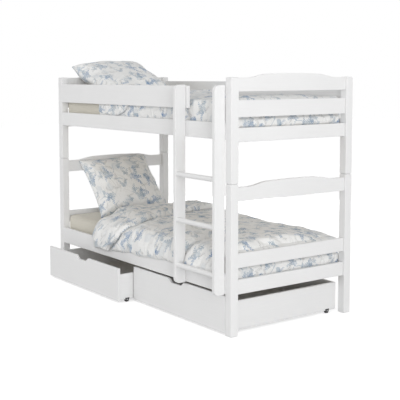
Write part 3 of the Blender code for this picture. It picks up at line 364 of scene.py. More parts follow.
def botanical_print_group():
    """Fans of leaves with open flowers in washed blue and grey, scattered over a pale ground."""
    sheet, given, out = node_group(
        "botanical_print", "ShaderNodeTree",
        [("Vector", "vector", None), ("Ground", "colour", COTTON_GROUND), ("Blue", "colour", LEAF_BLUE),
         ("Grey", "colour", LEAF_GREY), ("Sand", "colour", LEAF_SAND)],
        [("Colour", "colour")])
    cloth = given["Vector"]
    wobble = sheet.add("ShaderNodeTexNoise", {"Vector": cloth, "Scale": 30.0, "Detail": 2.0})
    shift = sheet.scale(sheet.vector("SUBTRACT", wobble.outputs["Color"], (0.5, 0.5, 0.5)), PRINT_WOBBLE)
    plan = sheet.vector("ADD", cloth, shift)
    wash = sheet.span(sheet.noise(cloth, 28.0, 3.0, 0.6), 0.35, 0.65, 0.45, 1.0)
    tint = sheet.step(sheet.noise(cloth, 9.0, 1.0), 0.42, 0.60)

    x, y, luck = scattered(sheet, plan, *SAND_PLACES)
    sand = sheet.times(spray(sheet, x, y, **SAND_SPRAY), sheet.step(luck[1], 0.35, 0.37))
    x, y, luck = scattered(sheet, plan, *GREY_PLACES)
    grey = sheet.times(fan(sheet, x, y, **GREY_FAN), sheet.step(luck[1], 0.22, 0.24))
    x, y, luck = scattered(sheet, plan, *BLUE_PLACES)
    blue = fan(sheet, x, y, **BLUE_FAN)
    flower = blossom(sheet, sheet.minus(x, FLOWER_PLACE[0]), sheet.minus(y, FLOWER_PLACE[1]), **FLOWER)
    x, y, luck = scattered(sheet, plan, *SECOND_PLACES)
    second = sheet.times(fan(sheet, x, y, **SECOND_FAN), sheet.step(luck[2], 0.25, 0.27))
    x, y, luck = scattered(sheet, plan, *PUDDLE_PLACES)
    ragged = sheet.plus(sheet.reach(x, y), sheet.times(sheet.noise(cloth, 42.0, 3.0, 0.6), PUDDLE_RAG))
    puddle = sheet.times(sheet.step(ragged, *PUDDLE_RADII), sheet.step(luck[2], 0.30, 0.34))
    winding = sheet.amount(sheet.minus(sheet.noise(plan, 6.5, 1.0), 0.5))
    patches = sheet.step(sheet.noise(cloth, 5.0, 1.0), 0.50, 0.56)
    vine = sheet.times(sheet.step(winding, 0.008, 0.003), patches)

    cool = sheet.mix(tint, given["Grey"], given["Blue"])
    colour = given["Ground"]
    for mask, strength, ink in (
            (puddle, 0.20, given["Grey"]), (sand, 0.8, given["Sand"]), (vine, 0.6, given["Grey"]),
            (grey, wash, given["Grey"]), (second, wash, cool), (sheet.larger(blue, flower), wash, cool)):
        colour = sheet.mix(sheet.times(mask, strength), colour, ink)
    return sheet.put_out(out, Colour=colour)


GROUPS = {"paint": brushed_paint_group(), "weave": weave_group(), "creases": crease_group(),
          "print": botanical_print_group()}


# Materials

class MaterialSheet(NodeSheet):
    """A material of its own, laid out round its one shader."""

    def __init__(self, name):
        self.material = bpy.data.materials.new(name)
        self.material.use_nodes = True
        super().__init__(self.material.node_tree)
        self.shader = self.tree.nodes["Principled BSDF"]

    def look(self, values):
        """Feed the shader's named sockets."""
        for name, value in values.items():
            self.feed(self.shader.inputs[name], value)

    def place(self):
        return self.add("ShaderNodeTexCoord").outputs["Object"]

    def group(self, name, **fed):
        return self.add("ShaderNodeGroup", fed, node_tree=GROUPS[name]).outputs

    def bump(self, height, strength, distance, under=None):
        node = self.add("ShaderNodeBump", {"Height": height, "Strength": strength, "Distance": distance})
        if under is not None:
            self.feed(node.inputs["Normal"], under)
        self.feed(self.shader.inputs["Normal"], node.outputs[0])
        return node.outputs[0]


BRUSH_SCALES = {"x": (5.0, 170.0, 170.0), "y": (170.0, 5.0, 170.0), "z": (170.0, 170.0, 5.0)}
SLAT_CELL = 0.1446


def paint_material(axis_name):
    """White satin paint whose faint brush marks run along one axis of the piece."""
    sheet = MaterialSheet(f"white_paint_along_{axis_name}")
    paint = sheet.group("paint", Vector=sheet.place(), Streaks=BRUSH_SCALES[axis_name], Colour=PAINT_WHITE)
    sheet.look({"Base Color": paint["Colour"], "Roughness": paint["Roughness"]})
    sheet.bump(paint["Height"], 0.06, 0.0004)
    return sheet.material


def pine_material():
    """Untreated pine slats: growth lines along the slat, early and late wood, small dark knots."""
    sheet = MaterialSheet("pine_slats")
    place = sheet.place()
    board = sheet.math("FLOOR", sheet.over(sheet.split(place)[0], SLAT_CELL))
    stretched = sheet.vector("ADD", sheet.vector("MULTIPLY", place, (60.0, 3.0, 60.0)),
                             sheet.join(sheet.times(board, 7.3), 0.0, 0.0))
    rings = sheet.noise(stretched, 1.0, 3.0, 0.6, 0.6)
    lines = sheet.math("SINE", sheet.times(rings, 42.0))
    knots = sheet.add("ShaderNodeTexVoronoi", {"Vector": sheet.vector("MULTIPLY", place, (5.0, 2.2, 5.0)),
                                               "Scale": 1.0}).outputs["Distance"]
    dark = sheet.larger(sheet.times(sheet.step(lines, -0.2, 1.0), 0.45), sheet.step(knots, 0.10, 0.04))
    sheet.look({"Base Color": sheet.mix(dark, PINE, PINE_DARK),
                "Roughness": sheet.span(rings, 0.2, 0.8, 0.55, 0.75)})
    sheet.bump(lines, 0.12, 0.0005)
    return sheet.material


def cloth_material(name, colour, pitch, sheen, printed=False, crease_scale=6.5, crease_depth=0.0060):
    """Woven cloth on the piece's own cloth plan, with soft creases and, if printed, its botanical print."""
    sheet = MaterialSheet(name)
    plan = sheet.add("ShaderNodeUVMap", uv_map="cloth_plan").outputs[0]
    weave = sheet.group("weave", Vector=plan, Pitch=pitch)
    creases = sheet.group("creases", Vector=plan, Scale=crease_scale)
    if printed:
        body = sheet.group("print", Vector=plan)["Colour"]
    else:
        mottle = sheet.noise(plan, 5.0, 3.0)
        body = sheet.mix(sheet.step(mottle, 0.3, 0.7), (*(0.94 * part for part in colour[:3]), 1), colour)
    sheet.look({"Base Color": sheet.mix(sheet.times(weave["Slub"], 0.10), body, THREAD_SHADE),
                "Roughness": sheet.span(weave["Slub"], 0.0, 1.0, 0.80, 0.95),
                "Sheen Weight": sheen, "Sheen Roughness": 0.5, "Specular IOR Level": 0.25})
    soft = sheet.bump(creases["Height"], 0.5, crease_depth)
    sheet.bump(weave["Height"], 0.25, 0.0002, soft)
    return sheet.material


def moulded_material():
    """Black moulded wheels: fine spark texture, with the tread rubbed a little grey."""
    sheet = MaterialSheet("black_plastic")
    place = sheet.place()
    spark = sheet.noise(place, 900.0, 2.0)
    rub = sheet.step(sheet.noise(place, 90.0, 3.0), 0.45, 0.75)
    sheet.look({"Base Color": sheet.mix(rub, RUBBER_BLACK, RUBBER_RUBBED),
                "Roughness": sheet.span(rub, 0.0, 1.0, 0.38, 0.62)})
    sheet.bump(spark, 0.15, 0.0003)
    return sheet.material


def steel_material():
    """Zinc plated steel with a fine, uneven polish."""
    sheet = MaterialSheet("zinc_steel")
    place = sheet.place()
    grain = sheet.noise(place, 600.0, 2.0)
    patina = sheet.step(sheet.noise(place, 60.0, 2.0), 0.35, 0.65)
    sheet.look({"Base Color": sheet.mix(patina, STEEL, STEEL_DULL),
                "Roughness": sheet.span(grain, 0.3, 0.7, 0.28, 0.42), "Metallic": 1.0})
    sheet.bump(grain, 0.1, 0.0002)
    return sheet.material


MATERIALS = {
    "paint_x": paint_material("x"), "paint_y": paint_material("y"), "paint_z": paint_material("z"),
    "pine": pine_material(), "plastic": moulded_material(), "steel": steel_material(),
    "ticking": cloth_material("mattress_ticking", TICKING, 0.0012, 0.1, False, 4.0, 0.0015),
    "piping": cloth_material("mattress_piping", PIPING, 0.0009, 0.1),
    "cotton": cloth_material("printed_cotton", COTTON_GROUND, 0.0005, 0.15, True),
}


def finish_for(node):
    """Which finish a CAD node gets, by what kind of piece it is."""
    if "wheel" in node:
        return "plastic"
    if node.endswith("slat_base"):
        return "pine"
    if "_post_" in node or "stile" in node:
        return "paint_z"
    if node.startswith(("lower_left", "lower_right", "upper_left", "upper_right")) or "_side_left" in node:
        return "paint_y"
    if node.endswith(("_side_right", "_bottom")):
        return "paint_y"
    return "paint_x"


def dress_cad_nodes():
    for name, obj in NODES.items():
        obj.data.materials.clear()
        obj.data.materials.append(MATERIALS[finish_for(name)])


# Soft piece tools

def smooth_step(share):
    share = min(max(share, 0.0), 1.0)
    return share * share * (3 - 2 * share)


def rise(value, start, end):
    """0 at the start and 1 at the end, smooth between them; the end may lie below the start."""
    return smooth_step((value - start) / (end - start))


def hump(value, middle, width):
    """1 in the middle, falling away to 0 on both sides."""
    return math.exp(-((value - middle) / width) ** 2)


def blend(first, second, share):
    return first + (second - first) * share


def along_table(table, place):
    """A smooth value between the rows of a table of places and values."""
    for (first, low), (second, high) in zip(table, table[1:]):
        if place <= second:
            return blend(low, high, rise(place, first, second))
    return table[-1][1]


def border_share(distance, width):
    """How full a quilt is at a distance from its border: 0 at the seam, 1 past the width."""
    share = min(max(distance / width, 0.0), 1.0)
    return math.sqrt(1 - (1 - share) ** 2)


def ripple(x, y, z, scale, seed):
    """A repeatable rise and fall between about -1 and 1."""
    return noise.noise(Vector((x * scale + seed, y * scale - seed, z * scale + 2 * seed)))


def billows(x, y, z, waves):
    """The sum of some waves, each a height, a scale and a seed."""
    return sum(height * ripple(x, y, z, scale, seed) for height, scale, seed in waves)


def folds(x, y, height, first, second, scale, seed):
    """Long soft folds, height high on their crests, in a noise that is read along two slanting ways."""
    value = noise.noise(Vector(((x * first[0] + y * first[1]) * scale + seed,
                                (x * second[0] + y * second[1]) * scale + seed, seed)))
    return height * max(0.0, 1 - abs(value) * 5) ** 2


PATH_PARTS = 12


def smooth_path(points, count):
    """Evenly spaced points on a curve through the given ones, each with its outward way and its run."""
    fine = []
    ends = [points[0], *points, points[-1]]
    for before, first, second, after in zip(ends, ends[1:], ends[2:], ends[3:]):
        for part in range(PATH_PARTS):
            t = part / PATH_PARTS
            fine.append(tuple(0.5 * (2 * b + (c - a) * t + (2 * a - 5 * b + 4 * c - d) * t ** 2
                                     + (3 * b - a - 3 * c + d) * t ** 3)
                              for a, b, c, d in zip(before, first, second, after)))
    fine.append(tuple(points[-1]))
    runs = [0.0]
    for first, second in zip(fine, fine[1:]):
        runs.append(runs[-1] + math.dist(first, second))
    path = []
    index = 0
    for step in range(count + 1):
        run = runs[-1] * step / count
        while index < len(runs) - 2 and runs[index + 1] < run:
            index += 1
        part = (run - runs[index]) / max(runs[index + 1] - runs[index], 1e-9)
        first = Vector(fine[index])
        second = Vector(fine[index + 1])
        tangent = (second - first).normalized()
        path.append((first.lerp(second, part), Vector((tangent.y, -tangent.x)), run))
    for index in range(1, count):
        path[index] = (path[index][0], (path[index - 1][1] + path[index + 1][1]).normalized(), path[index][2])
    return path


def scene_object(name, data):
    """A new object, linked to the scene."""
    obj = bpy.data.objects.new(name, data)
    bpy.context.scene.collection.objects.link(obj)
    return obj


def built_object(name, bm):
    """The object of a finished build."""
    mesh = bpy.data.meshes.new(name)
    bm.to_mesh(mesh)
    bm.free()
    return scene_object(name, mesh)


def closed_quilt(name, rows, columns, spot, plan, skip=lambda row, column: False, held=None):
    """A lining and a face of spots with a wall round their edge; the lining and held points are pinned."""
    bm = bmesh.new()
    layer = bm.loops.layers.uv.new("cloth_plan")
    corners = ({}, {})

    def corner(side, row, column):
        key = (row, column)
        if key not in corners[side]:
            corners[side][key] = bm.verts.new(spot(row, column, bool(side)))
        return corners[side][key]

    def add(points, keys):
        made = bm.faces.new(points)
        for loop, key in zip(made.loops, keys):
            loop[layer].uv = plan(*key)

    rims = {}
    for row in range(rows):
        for column in range(columns):
            if skip(row, column):
                continue
            keys = [(row, column), (row + 1, column), (row + 1, column + 1), (row, column + 1)]
            add([corner(1, *key) for key in keys], keys)
            back = keys[::-1]
            add([corner(0, *key) for key in back], back)
            for first, second in zip(keys, keys[1:] + keys[:1]):
                if (second, first) in rims:
                    del rims[(second, first)]
                else:
                    rims[(first, second)] = True
    for first, second in rims:
        add([corner(1, *second), corner(1, *first), corner(0, *first), corner(0, *second)],
            [second, first, first, second])
    bmesh.ops.recalc_face_normals(bm, faces=bm.faces)
    bm.verts.index_update()
    pinned = sorted(vert.index for vert in corners[0].values())
    obj = built_object(name, bm)
    pinned += [vert.index for vert in obj.data.vertices if held and held(vert.co)]
    obj.vertex_groups.new(name="pinned").add(pinned, 1.0, "REPLACE")
    return obj


def start_cloth(obj, pressure, growth, pinned):
    """Give a piece its cloth: a little too much of it, blown up from inside."""
    cloth = obj.modifiers.new("cloth", "CLOTH")
    settings = cloth.settings
    settings.quality = CLOTH_QUALITY
    settings.mass = CLOTH_MASS
    settings.tension_stiffness = CLOTH_STIFFNESS
    settings.compression_stiffness = CLOTH_STIFFNESS
    settings.shear_stiffness = CLOTH_STIFFNESS / 2
    settings.bending_stiffness = CLOTH_BENDING
    settings.use_pressure = True
    settings.uniform_pressure_force = pressure
    settings.shrink_min = -growth
    settings.effector_weights.gravity = 0.0
    cloth.collision_settings.use_collision = False
    if pinned:
        settings.vertex_group_mass = "pinned"
    cloth.point_cache.frame_start = 1
    cloth.point_cache.frame_end = CLOTH_FRAMES


def run_cloth(jobs):
    """Run every cloth at once, then keep each point within its cap of where it started."""
    for obj, pressure, growth, pinned, _ in jobs:
        start_cloth(obj, pressure, growth, pinned)
    scene = bpy.context.scene
    for step in range(1, CLOTH_FRAMES + 1):
        scene.frame_set(step)
    graph = bpy.context.evaluated_depsgraph_get()
    for obj, _, _, _, cap in jobs:
        mesh = obj.evaluated_get(graph).to_mesh()
        places = [vert.co.copy() for vert in mesh.vertices]
        obj.evaluated_get(graph).to_mesh_clear()
        for modifier in list(obj.modifiers):
            obj.modifiers.remove(modifier)
        for vert, place in zip(obj.data.vertices, places):
            move = place - vert.co
            limit = cap(vert.co)
            if move.length > limit:
                move *= limit / move.length
            vert.co += move
    scene.frame_set(1)


def keep_clear(obj, names):
    """Push the points that lie in or too near a CAD piece out to its surface and a gap."""
    for name in names:
        mesh = NODES[name].data
        tree = BVHTree.FromPolygons([vert.co for vert in mesh.vertices],
                                    [tuple(face.vertices) for face in mesh.polygons])
        low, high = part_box(name)
        for vert in obj.data.vertices:
            point = vert.co
            if any(point[axis] < low[axis] - CLEAR_GAP or point[axis] > high[axis] + CLEAR_GAP
                   for axis in range(3)):
                continue
            found, normal, _, distance = tree.find_nearest(point, CLEAR_REACH)
            if found is None:
                continue
            depth = (point - found).dot(normal)
            if depth < CLEAR_GAP and (depth < 0 or distance < CLEAR_GAP):
                vert.co = found + normal * CLEAR_GAP


def refine(obj):
    surface = obj.modifiers.new("soft_surface", "SUBSURF")
    surface.levels = 1
    surface.render_levels = 1


def dress(obj, material, slot, body, *stands_for):
    obj.data.materials.clear()
    obj.data.materials.append(MATERIALS[material])
    obj.data.shade_smooth()
    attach(obj, body)
    if stands_for:
        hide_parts(*stands_for)


# Geometry Nodes pieces

def geometry_group(name, *sizes):
    """A geometry tree that grows something on an object, with named sizes and a material."""
    return node_group(name, "GeometryNodeTree",
                      [("Geometry", "geometry", None), *((label, "value", size) for label, size in sizes),
                       ("Material", "material", None)], [("Geometry", "geometry")])


def finish_tree(sheet, given, out, geometry):
    real = sheet.add("GeometryNodeRealizeInstances", {"Geometry": geometry})
    named = sheet.add("GeometryNodeSetMaterial", {"Geometry": real.outputs[0], "Material": given["Material"]})
    return sheet.put_out(out, Geometry=named.outputs[0])


def rope_tree():
    """A round rope along the edges of a path, with its run and girth as its cloth plan."""
    sheet, given, out = geometry_group("seam_rope", ("Radius", 0.002), ("Step", 0.01))
    curve = sheet.add("GeometryNodeMeshToCurve", {"Mesh": given["Geometry"]}).outputs[0]
    even = sheet.add("GeometryNodeResampleCurve", {"Curve": curve, "Length": given["Step"]}, mode="LENGTH")
    circle = sheet.add("GeometryNodeCurvePrimitiveCircle", {"Resolution": 8, "Radius": given["Radius"]})
    marked = []
    for curve, label in ((even, "Run"), (circle, "Girth")):
        node = sheet.add("GeometryNodeCaptureAttribute", {"Geometry": curve.outputs[0]})
        node.capture_items.new("FLOAT", label)
        sheet.feed(node.inputs[label], sheet.add("GeometryNodeSplineParameter").outputs["Length"])
        marked.append(node.outputs)
    run, girth = marked
    tube = sheet.add("GeometryNodeCurveToMesh", {"Curve": run[0], "Profile Curve": girth[0]})
    stored = sheet.add("GeometryNodeStoreNamedAttribute", {"Geometry": tube.outputs[0], "Name": "cloth_plan"},
                       data_type="FLOAT2", domain="CORNER")
    sheet.feed(stored.inputs["Value"], sheet.join(run["Run"], girth["Girth"], 0.0))
    smooth = sheet.add("GeometryNodeSetShadeSmooth", {"Geometry": stored.outputs[0]})
    return finish_tree(sheet, given, out, smooth.outputs[0])


def heads_tree():
    """A low domed head at every point, lying against the face whose way out is stored at the point."""
    sheet, given, out = geometry_group("pin_heads", ("Radius", 0.005), ("Height", 0.0016))
    dome = sheet.add("GeometryNodeMeshUVSphere", {"Segments": 16, "Rings": 8, "Radius": 1.0})
    size = sheet.join(given["Radius"], given["Radius"], given["Height"])
    flat = sheet.add("GeometryNodeTransform", {"Geometry": dome.outputs[0], "Scale": size})
    way = sheet.add("GeometryNodeInputNamedAttribute", {"Name": "way_out"}, data_type="FLOAT_VECTOR")
    turn = sheet.add("FunctionNodeAlignRotationToVector", {"Vector": way.outputs[0]}, axis="Z")
    put = sheet.add("GeometryNodeInstanceOnPoints", {"Points": given["Geometry"], "Instance": flat.outputs[0],
                                                     "Rotation": turn.outputs[0]})
    smooth = sheet.add("GeometryNodeSetShadeSmooth", {"Geometry": put.outputs[0]})
    return finish_tree(sheet, given, out, smooth.outputs[0])


def staples_tree():
    """A steel staple across the webbing at every point."""
    sheet, given, out = geometry_group("webbing_staples", ("Crown", 0.012), ("Wire", 0.0012))
    line = sheet.add("GeometryNodeCurvePrimitiveLine",
                     {"Start": sheet.join(sheet.times(given["Crown"], -0.5), 0.0, 0.0),
                      "End": sheet.join(sheet.times(given["Crown"], 0.5), 0.0, 0.0)})
    ring = sheet.add("GeometryNodeCurvePrimitiveCircle", {"Resolution": 6,
                                                          "Radius": sheet.times(given["Wire"], 0.5)})
    bar = sheet.add("GeometryNodeCurveToMesh", {"Curve": line.outputs[0], "Profile Curve": ring.outputs[0],
                                                "Fill Caps": True})
    put = sheet.add("GeometryNodeInstanceOnPoints", {"Points": given["Geometry"], "Instance": bar.outputs[0]})
    return finish_tree(sheet, given, out, put.outputs[0])


def plates_tree():
    """A tapered plate, wide at its top, standing on every point."""
    sheet, given, out = geometry_group("castor_plates", ("Width", 0.034), ("Height", 0.034),
                                       ("Thickness", 0.003))
    block = sheet.add("GeometryNodeMeshCube", {
        "Size": sheet.join(given["Thickness"], given["Width"], given["Height"]),
        "Vertices X": 2, "Vertices Y": 2, "Vertices Z": 2})
    x, y, z = sheet.split(sheet.add("GeometryNodeInputPosition").outputs[0])
    taper = sheet.span(sheet.plus(sheet.over(z, given["Height"]), 0.5), 0.0, 1.0, 0.55, 1.0)
    moved = sheet.add("GeometryNodeSetPosition", {"Geometry": block.outputs[0],
                                                  "Position": sheet.join(x, sheet.times(y, taper), z)})
    put = sheet.add("GeometryNodeInstanceOnPoints", {"Points": given["Geometry"],
                                                     "Instance": moved.outputs[0]})
    return finish_tree(sheet, given, out, put.outputs[0])


TREES = {"rope": rope_tree(), "heads": heads_tree(), "staples": staples_tree(), "plates": plates_tree()}


def grown(obj, tree, finish, **sizes):
    """Run a geometry tree on an object and keep the plain mesh that it makes."""
    values = {**sizes, "Material": MATERIALS[finish]}
    modifier = obj.modifiers.new("grown", "NODES")
    modifier.node_group = TREES[tree]
    for item in modifier.node_group.interface.items_tree:
        if item.item_type == "SOCKET" and item.in_out == "INPUT" and item.name in values:
            modifier[item.identifier] = values[item.name]
    graph = bpy.context.evaluated_depsgraph_get()
    mesh = bpy.data.meshes.new_from_object(obj.evaluated_get(graph))
    mesh.name = obj.name
    obj.modifiers.remove(modifier)
    obj.data = mesh
    return obj


# Mattresses: the inset and height of each level from the middle of the base to the middle of the top
MATTRESS_LEVELS = (
    (0.300, 0.0), (0.120, 0.0), (0.035, 0.0), (0.014, 0.004), (0.004, 0.014), (0.002, 0.020), (0.0, 0.034),
    (-0.001, 0.077), (0.0, 0.120), (0.002, 0.134), (0.004, 0.140), (0.014, 0.150), (0.035, 0.154),
    (0.120, 0.1565), (0.220, 0.158), (0.300, 0.1585))
MATTRESS_TOP_LEVEL = 12
MATTRESS_CORNER = 0.043
MATTRESS_CORNER_PARTS = 8
MATTRESS_CELL = 0.03
MATTRESS_SIDE_GAP = 0.002
MATTRESS_END_GAP = 0.0005
MATTRESS_PUFFS = ((0.0012, 7.0, 3.0), (0.0006, 22.0, 5.0))
MATTRESS_PUFFED_FROM = 0.1
MATTRESS_SEAMS = {"low": 0.014, "high": 0.140}
PIPING_RADIUS = 0.0028
PIPING_SINK = 0.003
PIPING_STEP = 0.008


def rounded_plan(half_x, half_y):
    """Points round a mattress with its round corners."""
    points = []
    for corner, (x_side, y_side) in enumerate(((1, 1), (-1, 1), (-1, -1), (1, -1))):
        for part in range(MATTRESS_CORNER_PARTS + 1):
            angle = math.radians(90 * corner + 90 * part / MATTRESS_CORNER_PARTS)
            points.append(Vector((x_side * (half_x - MATTRESS_CORNER) + MATTRESS_CORNER * math.cos(angle),
                                  y_side * (half_y - MATTRESS_CORNER) + MATTRESS_CORNER * math.sin(angle))))
    plan = []
    for first, second in zip(points, points[1:] + points[:1]):
        count = max(1, round((second - first).length / MATTRESS_CELL))
        plan += [first.lerp(second, part / count) for part in range(count)]
    return plan


def mattress_ring(bm, base, half_x, half_y, centre, inset, height, z):
    """One level of a mattress, a little puffed on its upper half."""
    ring = []
    for point in base:
        x = point.x * (half_x - inset) / half_x
        y = point.y * (half_y - inset) / half_y
        puff = billows(x, y, z, MATTRESS_PUFFS)
        lift = puff if height > MATTRESS_PUFFED_FROM else 0.0
        ring.append(bm.verts.new((centre.x + x + puff * point.x / half_x,
                                  centre.y + y + puff * point.y / half_y, z + lift - MATTRESS_END_GAP)))
    return ring


def make_mattress(tier):
    low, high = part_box(f"{tier}_mattress")
    centre = (low + high) / 2
    half_x = (high.x - low.x) / 2 - MATTRESS_SIDE_GAP
    half_y = (high.y - low.y) / 2 - MATTRESS_SIDE_GAP
    scale = (high.z - low.z - 2 * MATTRESS_END_GAP) / MATTRESS_LEVELS[-1][1]
    bm = bmesh.new()
    layer = bm.loops.layers.uv.new("cloth_plan")
    base = rounded_plan(half_x, half_y)
    rings = [mattress_ring(bm, base, half_x, half_y, centre, inset, height, low.z + height * scale)
             for inset, height in MATTRESS_LEVELS]
    runs = [0.0]
    for first, second in zip(base, base[1:] + base[:1]):
        runs.append(runs[-1] + (second - first).length)
    climb = 0.0
    for level, (below, above) in enumerate(zip(rings, rings[1:])):
        step = (above[0].co - below[0].co).length
        flat = MATTRESS_LEVELS[level][1] == MATTRESS_LEVELS[level + 1][1] or level >= MATTRESS_TOP_LEVEL
        for index in range(len(base)):
            after = (index + 1) % len(base)
            face = bm.faces.new((below[index], below[after], above[after], above[index]))
            for loop in face.loops:
                run = runs[index + 1] if loop.vert in (below[after], above[after]) else runs[index]
                up = climb + (step if loop.vert in (above[index], above[after]) else 0.0)
                loop[layer].uv = loop.vert.co.xy if flat else (run, up)
        climb += step
    for ring in (rings[0][::-1], rings[-1]):
        made = bmesh.ops.triangulate(bm, faces=[bm.faces.new(ring)])
        for part in made["faces"]:
            for loop in part.loops:
                loop[layer].uv = loop.vert.co.xy
    obj = built_object(f"{tier}_mattress_cover", bm)
    dress(obj, "ticking", "mattress_ticking", f"{tier}_bed", f"{tier}_mattress")
    for place, seam in MATTRESS_SEAMS.items():
        loop = [(centre.x + point.x * (half_x - PIPING_SINK) / half_x,
                 centre.y + point.y * (half_y - PIPING_SINK) / half_y, low.z + seam * scale)
                for point in base]
        rope = grown(closed_path(f"{tier}_mattress_piping_{place}", loop), "rope", "piping",
                     Radius=PIPING_RADIUS, Step=PIPING_STEP)
        dress(rope, "piping", "mattress_ticking", f"{tier}_bed")


def closed_path(name, points):
    bm = bmesh.new()
    corners = [bm.verts.new(point) for point in points]
    for first, second in zip(corners, corners[1:] + corners[:1]):
        bm.edges.new((first, second))
    return built_object(name, bm)


# Pillows
PILLOW_CELLS = 40
PILLOW_DRAW_IN = 0.014
PILLOW_EVEN_SHARE = 0.45
PILLOW_RISE_SHARE = 0.92
PILLOW_ROUNDNESS = 0.52
PILLOW_CAP = 0.020
PILLOW_THICK_LIMIT = 1.03
PILLOW_FOLDS = (0.0045, (1, 0), (0, 0.6), 9.0, 4.0)
PILLOW_BILLOWS = ((0.003, 11.0, 9.0),)
PILLOW_EDGE_SHARES = (0.45, 0.95)
PILLOW_LEANS = {"lower": math.radians(46), "upper": math.radians(23)}
PILLOW_SLUMPS = {"lower": 0.006, "upper": -0.008}
PILLOW_SCALES = {"lower": 1.0, "upper": 0.965}

# How each corner is tugged, by its side in X and Y; then tugs elsewhere, with middle and width in X and in Y
PILLOW_CORNERS = {
    "lower": {(-1, 1): (-0.004, -0.018, 0.024), (1, -1): (-0.012, -0.024, 0.0), (1, 1): (0.0, -0.012, 0.0)},
    "upper": {(-1, -1): (0.0, 0.0, -0.010), (1, -1): (-0.030, -0.012, 0.0)}}
PILLOW_TUGS = {
    "lower": (((-0.05, 0.11), (1.0, 0.25), (0.0, 0.013, 0.0)),),
    "upper": (((-1.0, 0.60), (-0.60, 0.30), (0.0, 0.0, -0.020)),
              ((-0.35, 0.35), (-1.0, 0.35), (-0.040, 0.0, -0.012)))}


def make_pillow_shape(tier, half):
    """The pillow flat on the bench, in its own frame: full in the middle, drawn in between its corners."""
    def share(index):
        return 2 * index / PILLOW_CELLS - 1

    def spot(row, column, lift):
        a, b = (blend(math.sin(part * math.pi / 2), part, PILLOW_EVEN_SHARE)
                for part in (share(row), share(column)))
        x = (half.x - PILLOW_DRAW_IN * (1 - b ** 2) * abs(a) ** 3) * a
        y = (half.y - PILLOW_DRAW_IN * (1 - a ** 2) * abs(b) ** 3) * b
        fullness = max((1 - abs(a) ** 3.0) * (1 - abs(b) ** 3.0), 0.0)
        z = half.z * PILLOW_RISE_SHARE * fullness ** PILLOW_ROUNDNESS + EDGE_SEAM / 2
        return Vector((x, y, z if lift else -z))

    start_x, start_y = PRINT_STARTS["pillow"]
    return closed_quilt(f"{tier}_pillow_case", PILLOW_CELLS, PILLOW_CELLS, spot,
                        lambda row, column: (half.x * share(row) + start_x, half.y * share(column) + start_y))


def node_frame(name, lean):
    """The half size and the place of a leaning solid, measured along its own axes."""
    turn = Matrix.Rotation(lean, 4, "Y")
    back = turn.inverted()
    points = [back @ vert.co for vert in NODES[name].data.vertices]
    low = Vector(min(point[axis] for point in points) for axis in range(3))
    high = Vector(max(point[axis] for point in points) for axis in range(3))
    return (high - low) / 2, Matrix.Translation(turn @ ((low + high) / 2)) @ turn


def corner_pull(tier, a, b):
    """How far a point moves when the pillow's corners are tugged into place."""
    pull = Vector()
    for (a_side, b_side), offset in PILLOW_CORNERS[tier].items():
        pull += Vector(offset) * ((1 + a_side * a) * (1 + b_side * b) / 4)
    for a_tug, b_tug, offset in PILLOW_TUGS[tier]:
        pull += Vector(offset) * hump(a, *a_tug) * hump(b, *b_tug)
    return pull


def seat_pillow(obj, tier, place, half):
    """Fit the blown-up case to its place, let it slump on its lower edge and clear what it leans on."""
    points = [vert.co.copy() for vert in obj.data.vertices]
    reach = Vector(max(abs(point[axis]) for point in points) for axis in range(3))
    scale = PILLOW_SCALES[tier]
    fit = Vector((half.x / reach.x * scale, half.y / reach.y * scale,
                  min(1.0, half.z * PILLOW_THICK_LIMIT / reach.z)))
    for vert, point in zip(obj.data.vertices, points):
        point = point * fit
        a = point.x / half.x
        b = point.y / half.y
        edge = rise(max(abs(a), abs(b)), *PILLOW_EDGE_SHARES)
        puff = folds(point.x, point.y, *PILLOW_FOLDS) + billows(point.x, point.y, 0.0, PILLOW_BILLOWS)
        puff *= blend(0.35, 1.0, edge) * (1 - abs(a) ** 8) * (1 - abs(b) ** 8)
        point.z += (puff if point.z > 0 else -puff) + PILLOW_SLUMPS[tier] * math.sin(math.pi * b) * a * a
        vert.co = place @ point + corner_pull(tier, a, b)
    keep_clear(obj, [f"{tier}_{name}" for name in ("mattress", "left_bottom_rail", "left_mid_rail",
                                                   "left_arched_rail", "post_back_left", "post_front_left")])
    refine(obj)
    dress(obj, "cotton", "printed_cotton", f"{tier}_bed", f"{tier}_pillow")


# Duvets

def measured(value):
    """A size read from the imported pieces, to a tenth of a millimetre."""
    return round(value, 4)


# How far along the beds the duvets reach, on the top and on the hanging flap, and how soon these draw apart
DUVET_TOP_END = 0.963
DUVET_FLAP_END = 0.940
HEAD_SKEW_REACH = 0.3
FOOT_SKEW_REACH = 0.24

# The ladder's left stile, which stands in a slot of the lower duvet
STILE_LOW, STILE_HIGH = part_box("ladder_stile_left")
STILE_X = measured((STILE_LOW.x + STILE_HIGH.x) / 2)


class DuvetPlan:
    """The sizes that one duvet is draped with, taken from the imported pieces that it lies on."""

    def __init__(self, tier, head_x, flap_head_x, edge_loft, rail_z):
        self.tier = tier
        self.head_x = head_x
        self.flap_head_x = flap_head_x
        self.edge_loft = edge_loft
        self.rail_z = rail_z
        low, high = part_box(f"{tier}_mattress")
        self.bed_y = (low.y + high.y) / 2
        self.mattress_y = (high.y - low.y) / 2
        self.lay = high.z + LAY_GAP
        self.foot_x = high.x

    def shifted(self, station, hang):
        """Where a station stands along the bed: its ends stop shorter on the hanging flap."""
        near_head = rise(station, self.head_x + HEAD_SKEW_REACH, self.head_x)
        near_foot = rise(station, DUVET_TOP_END - FOOT_SKEW_REACH, DUVET_TOP_END)
        return station + hang * ((self.flap_head_x - self.head_x) * near_head
                                 + (DUVET_FLAP_END - DUVET_TOP_END) * near_foot)


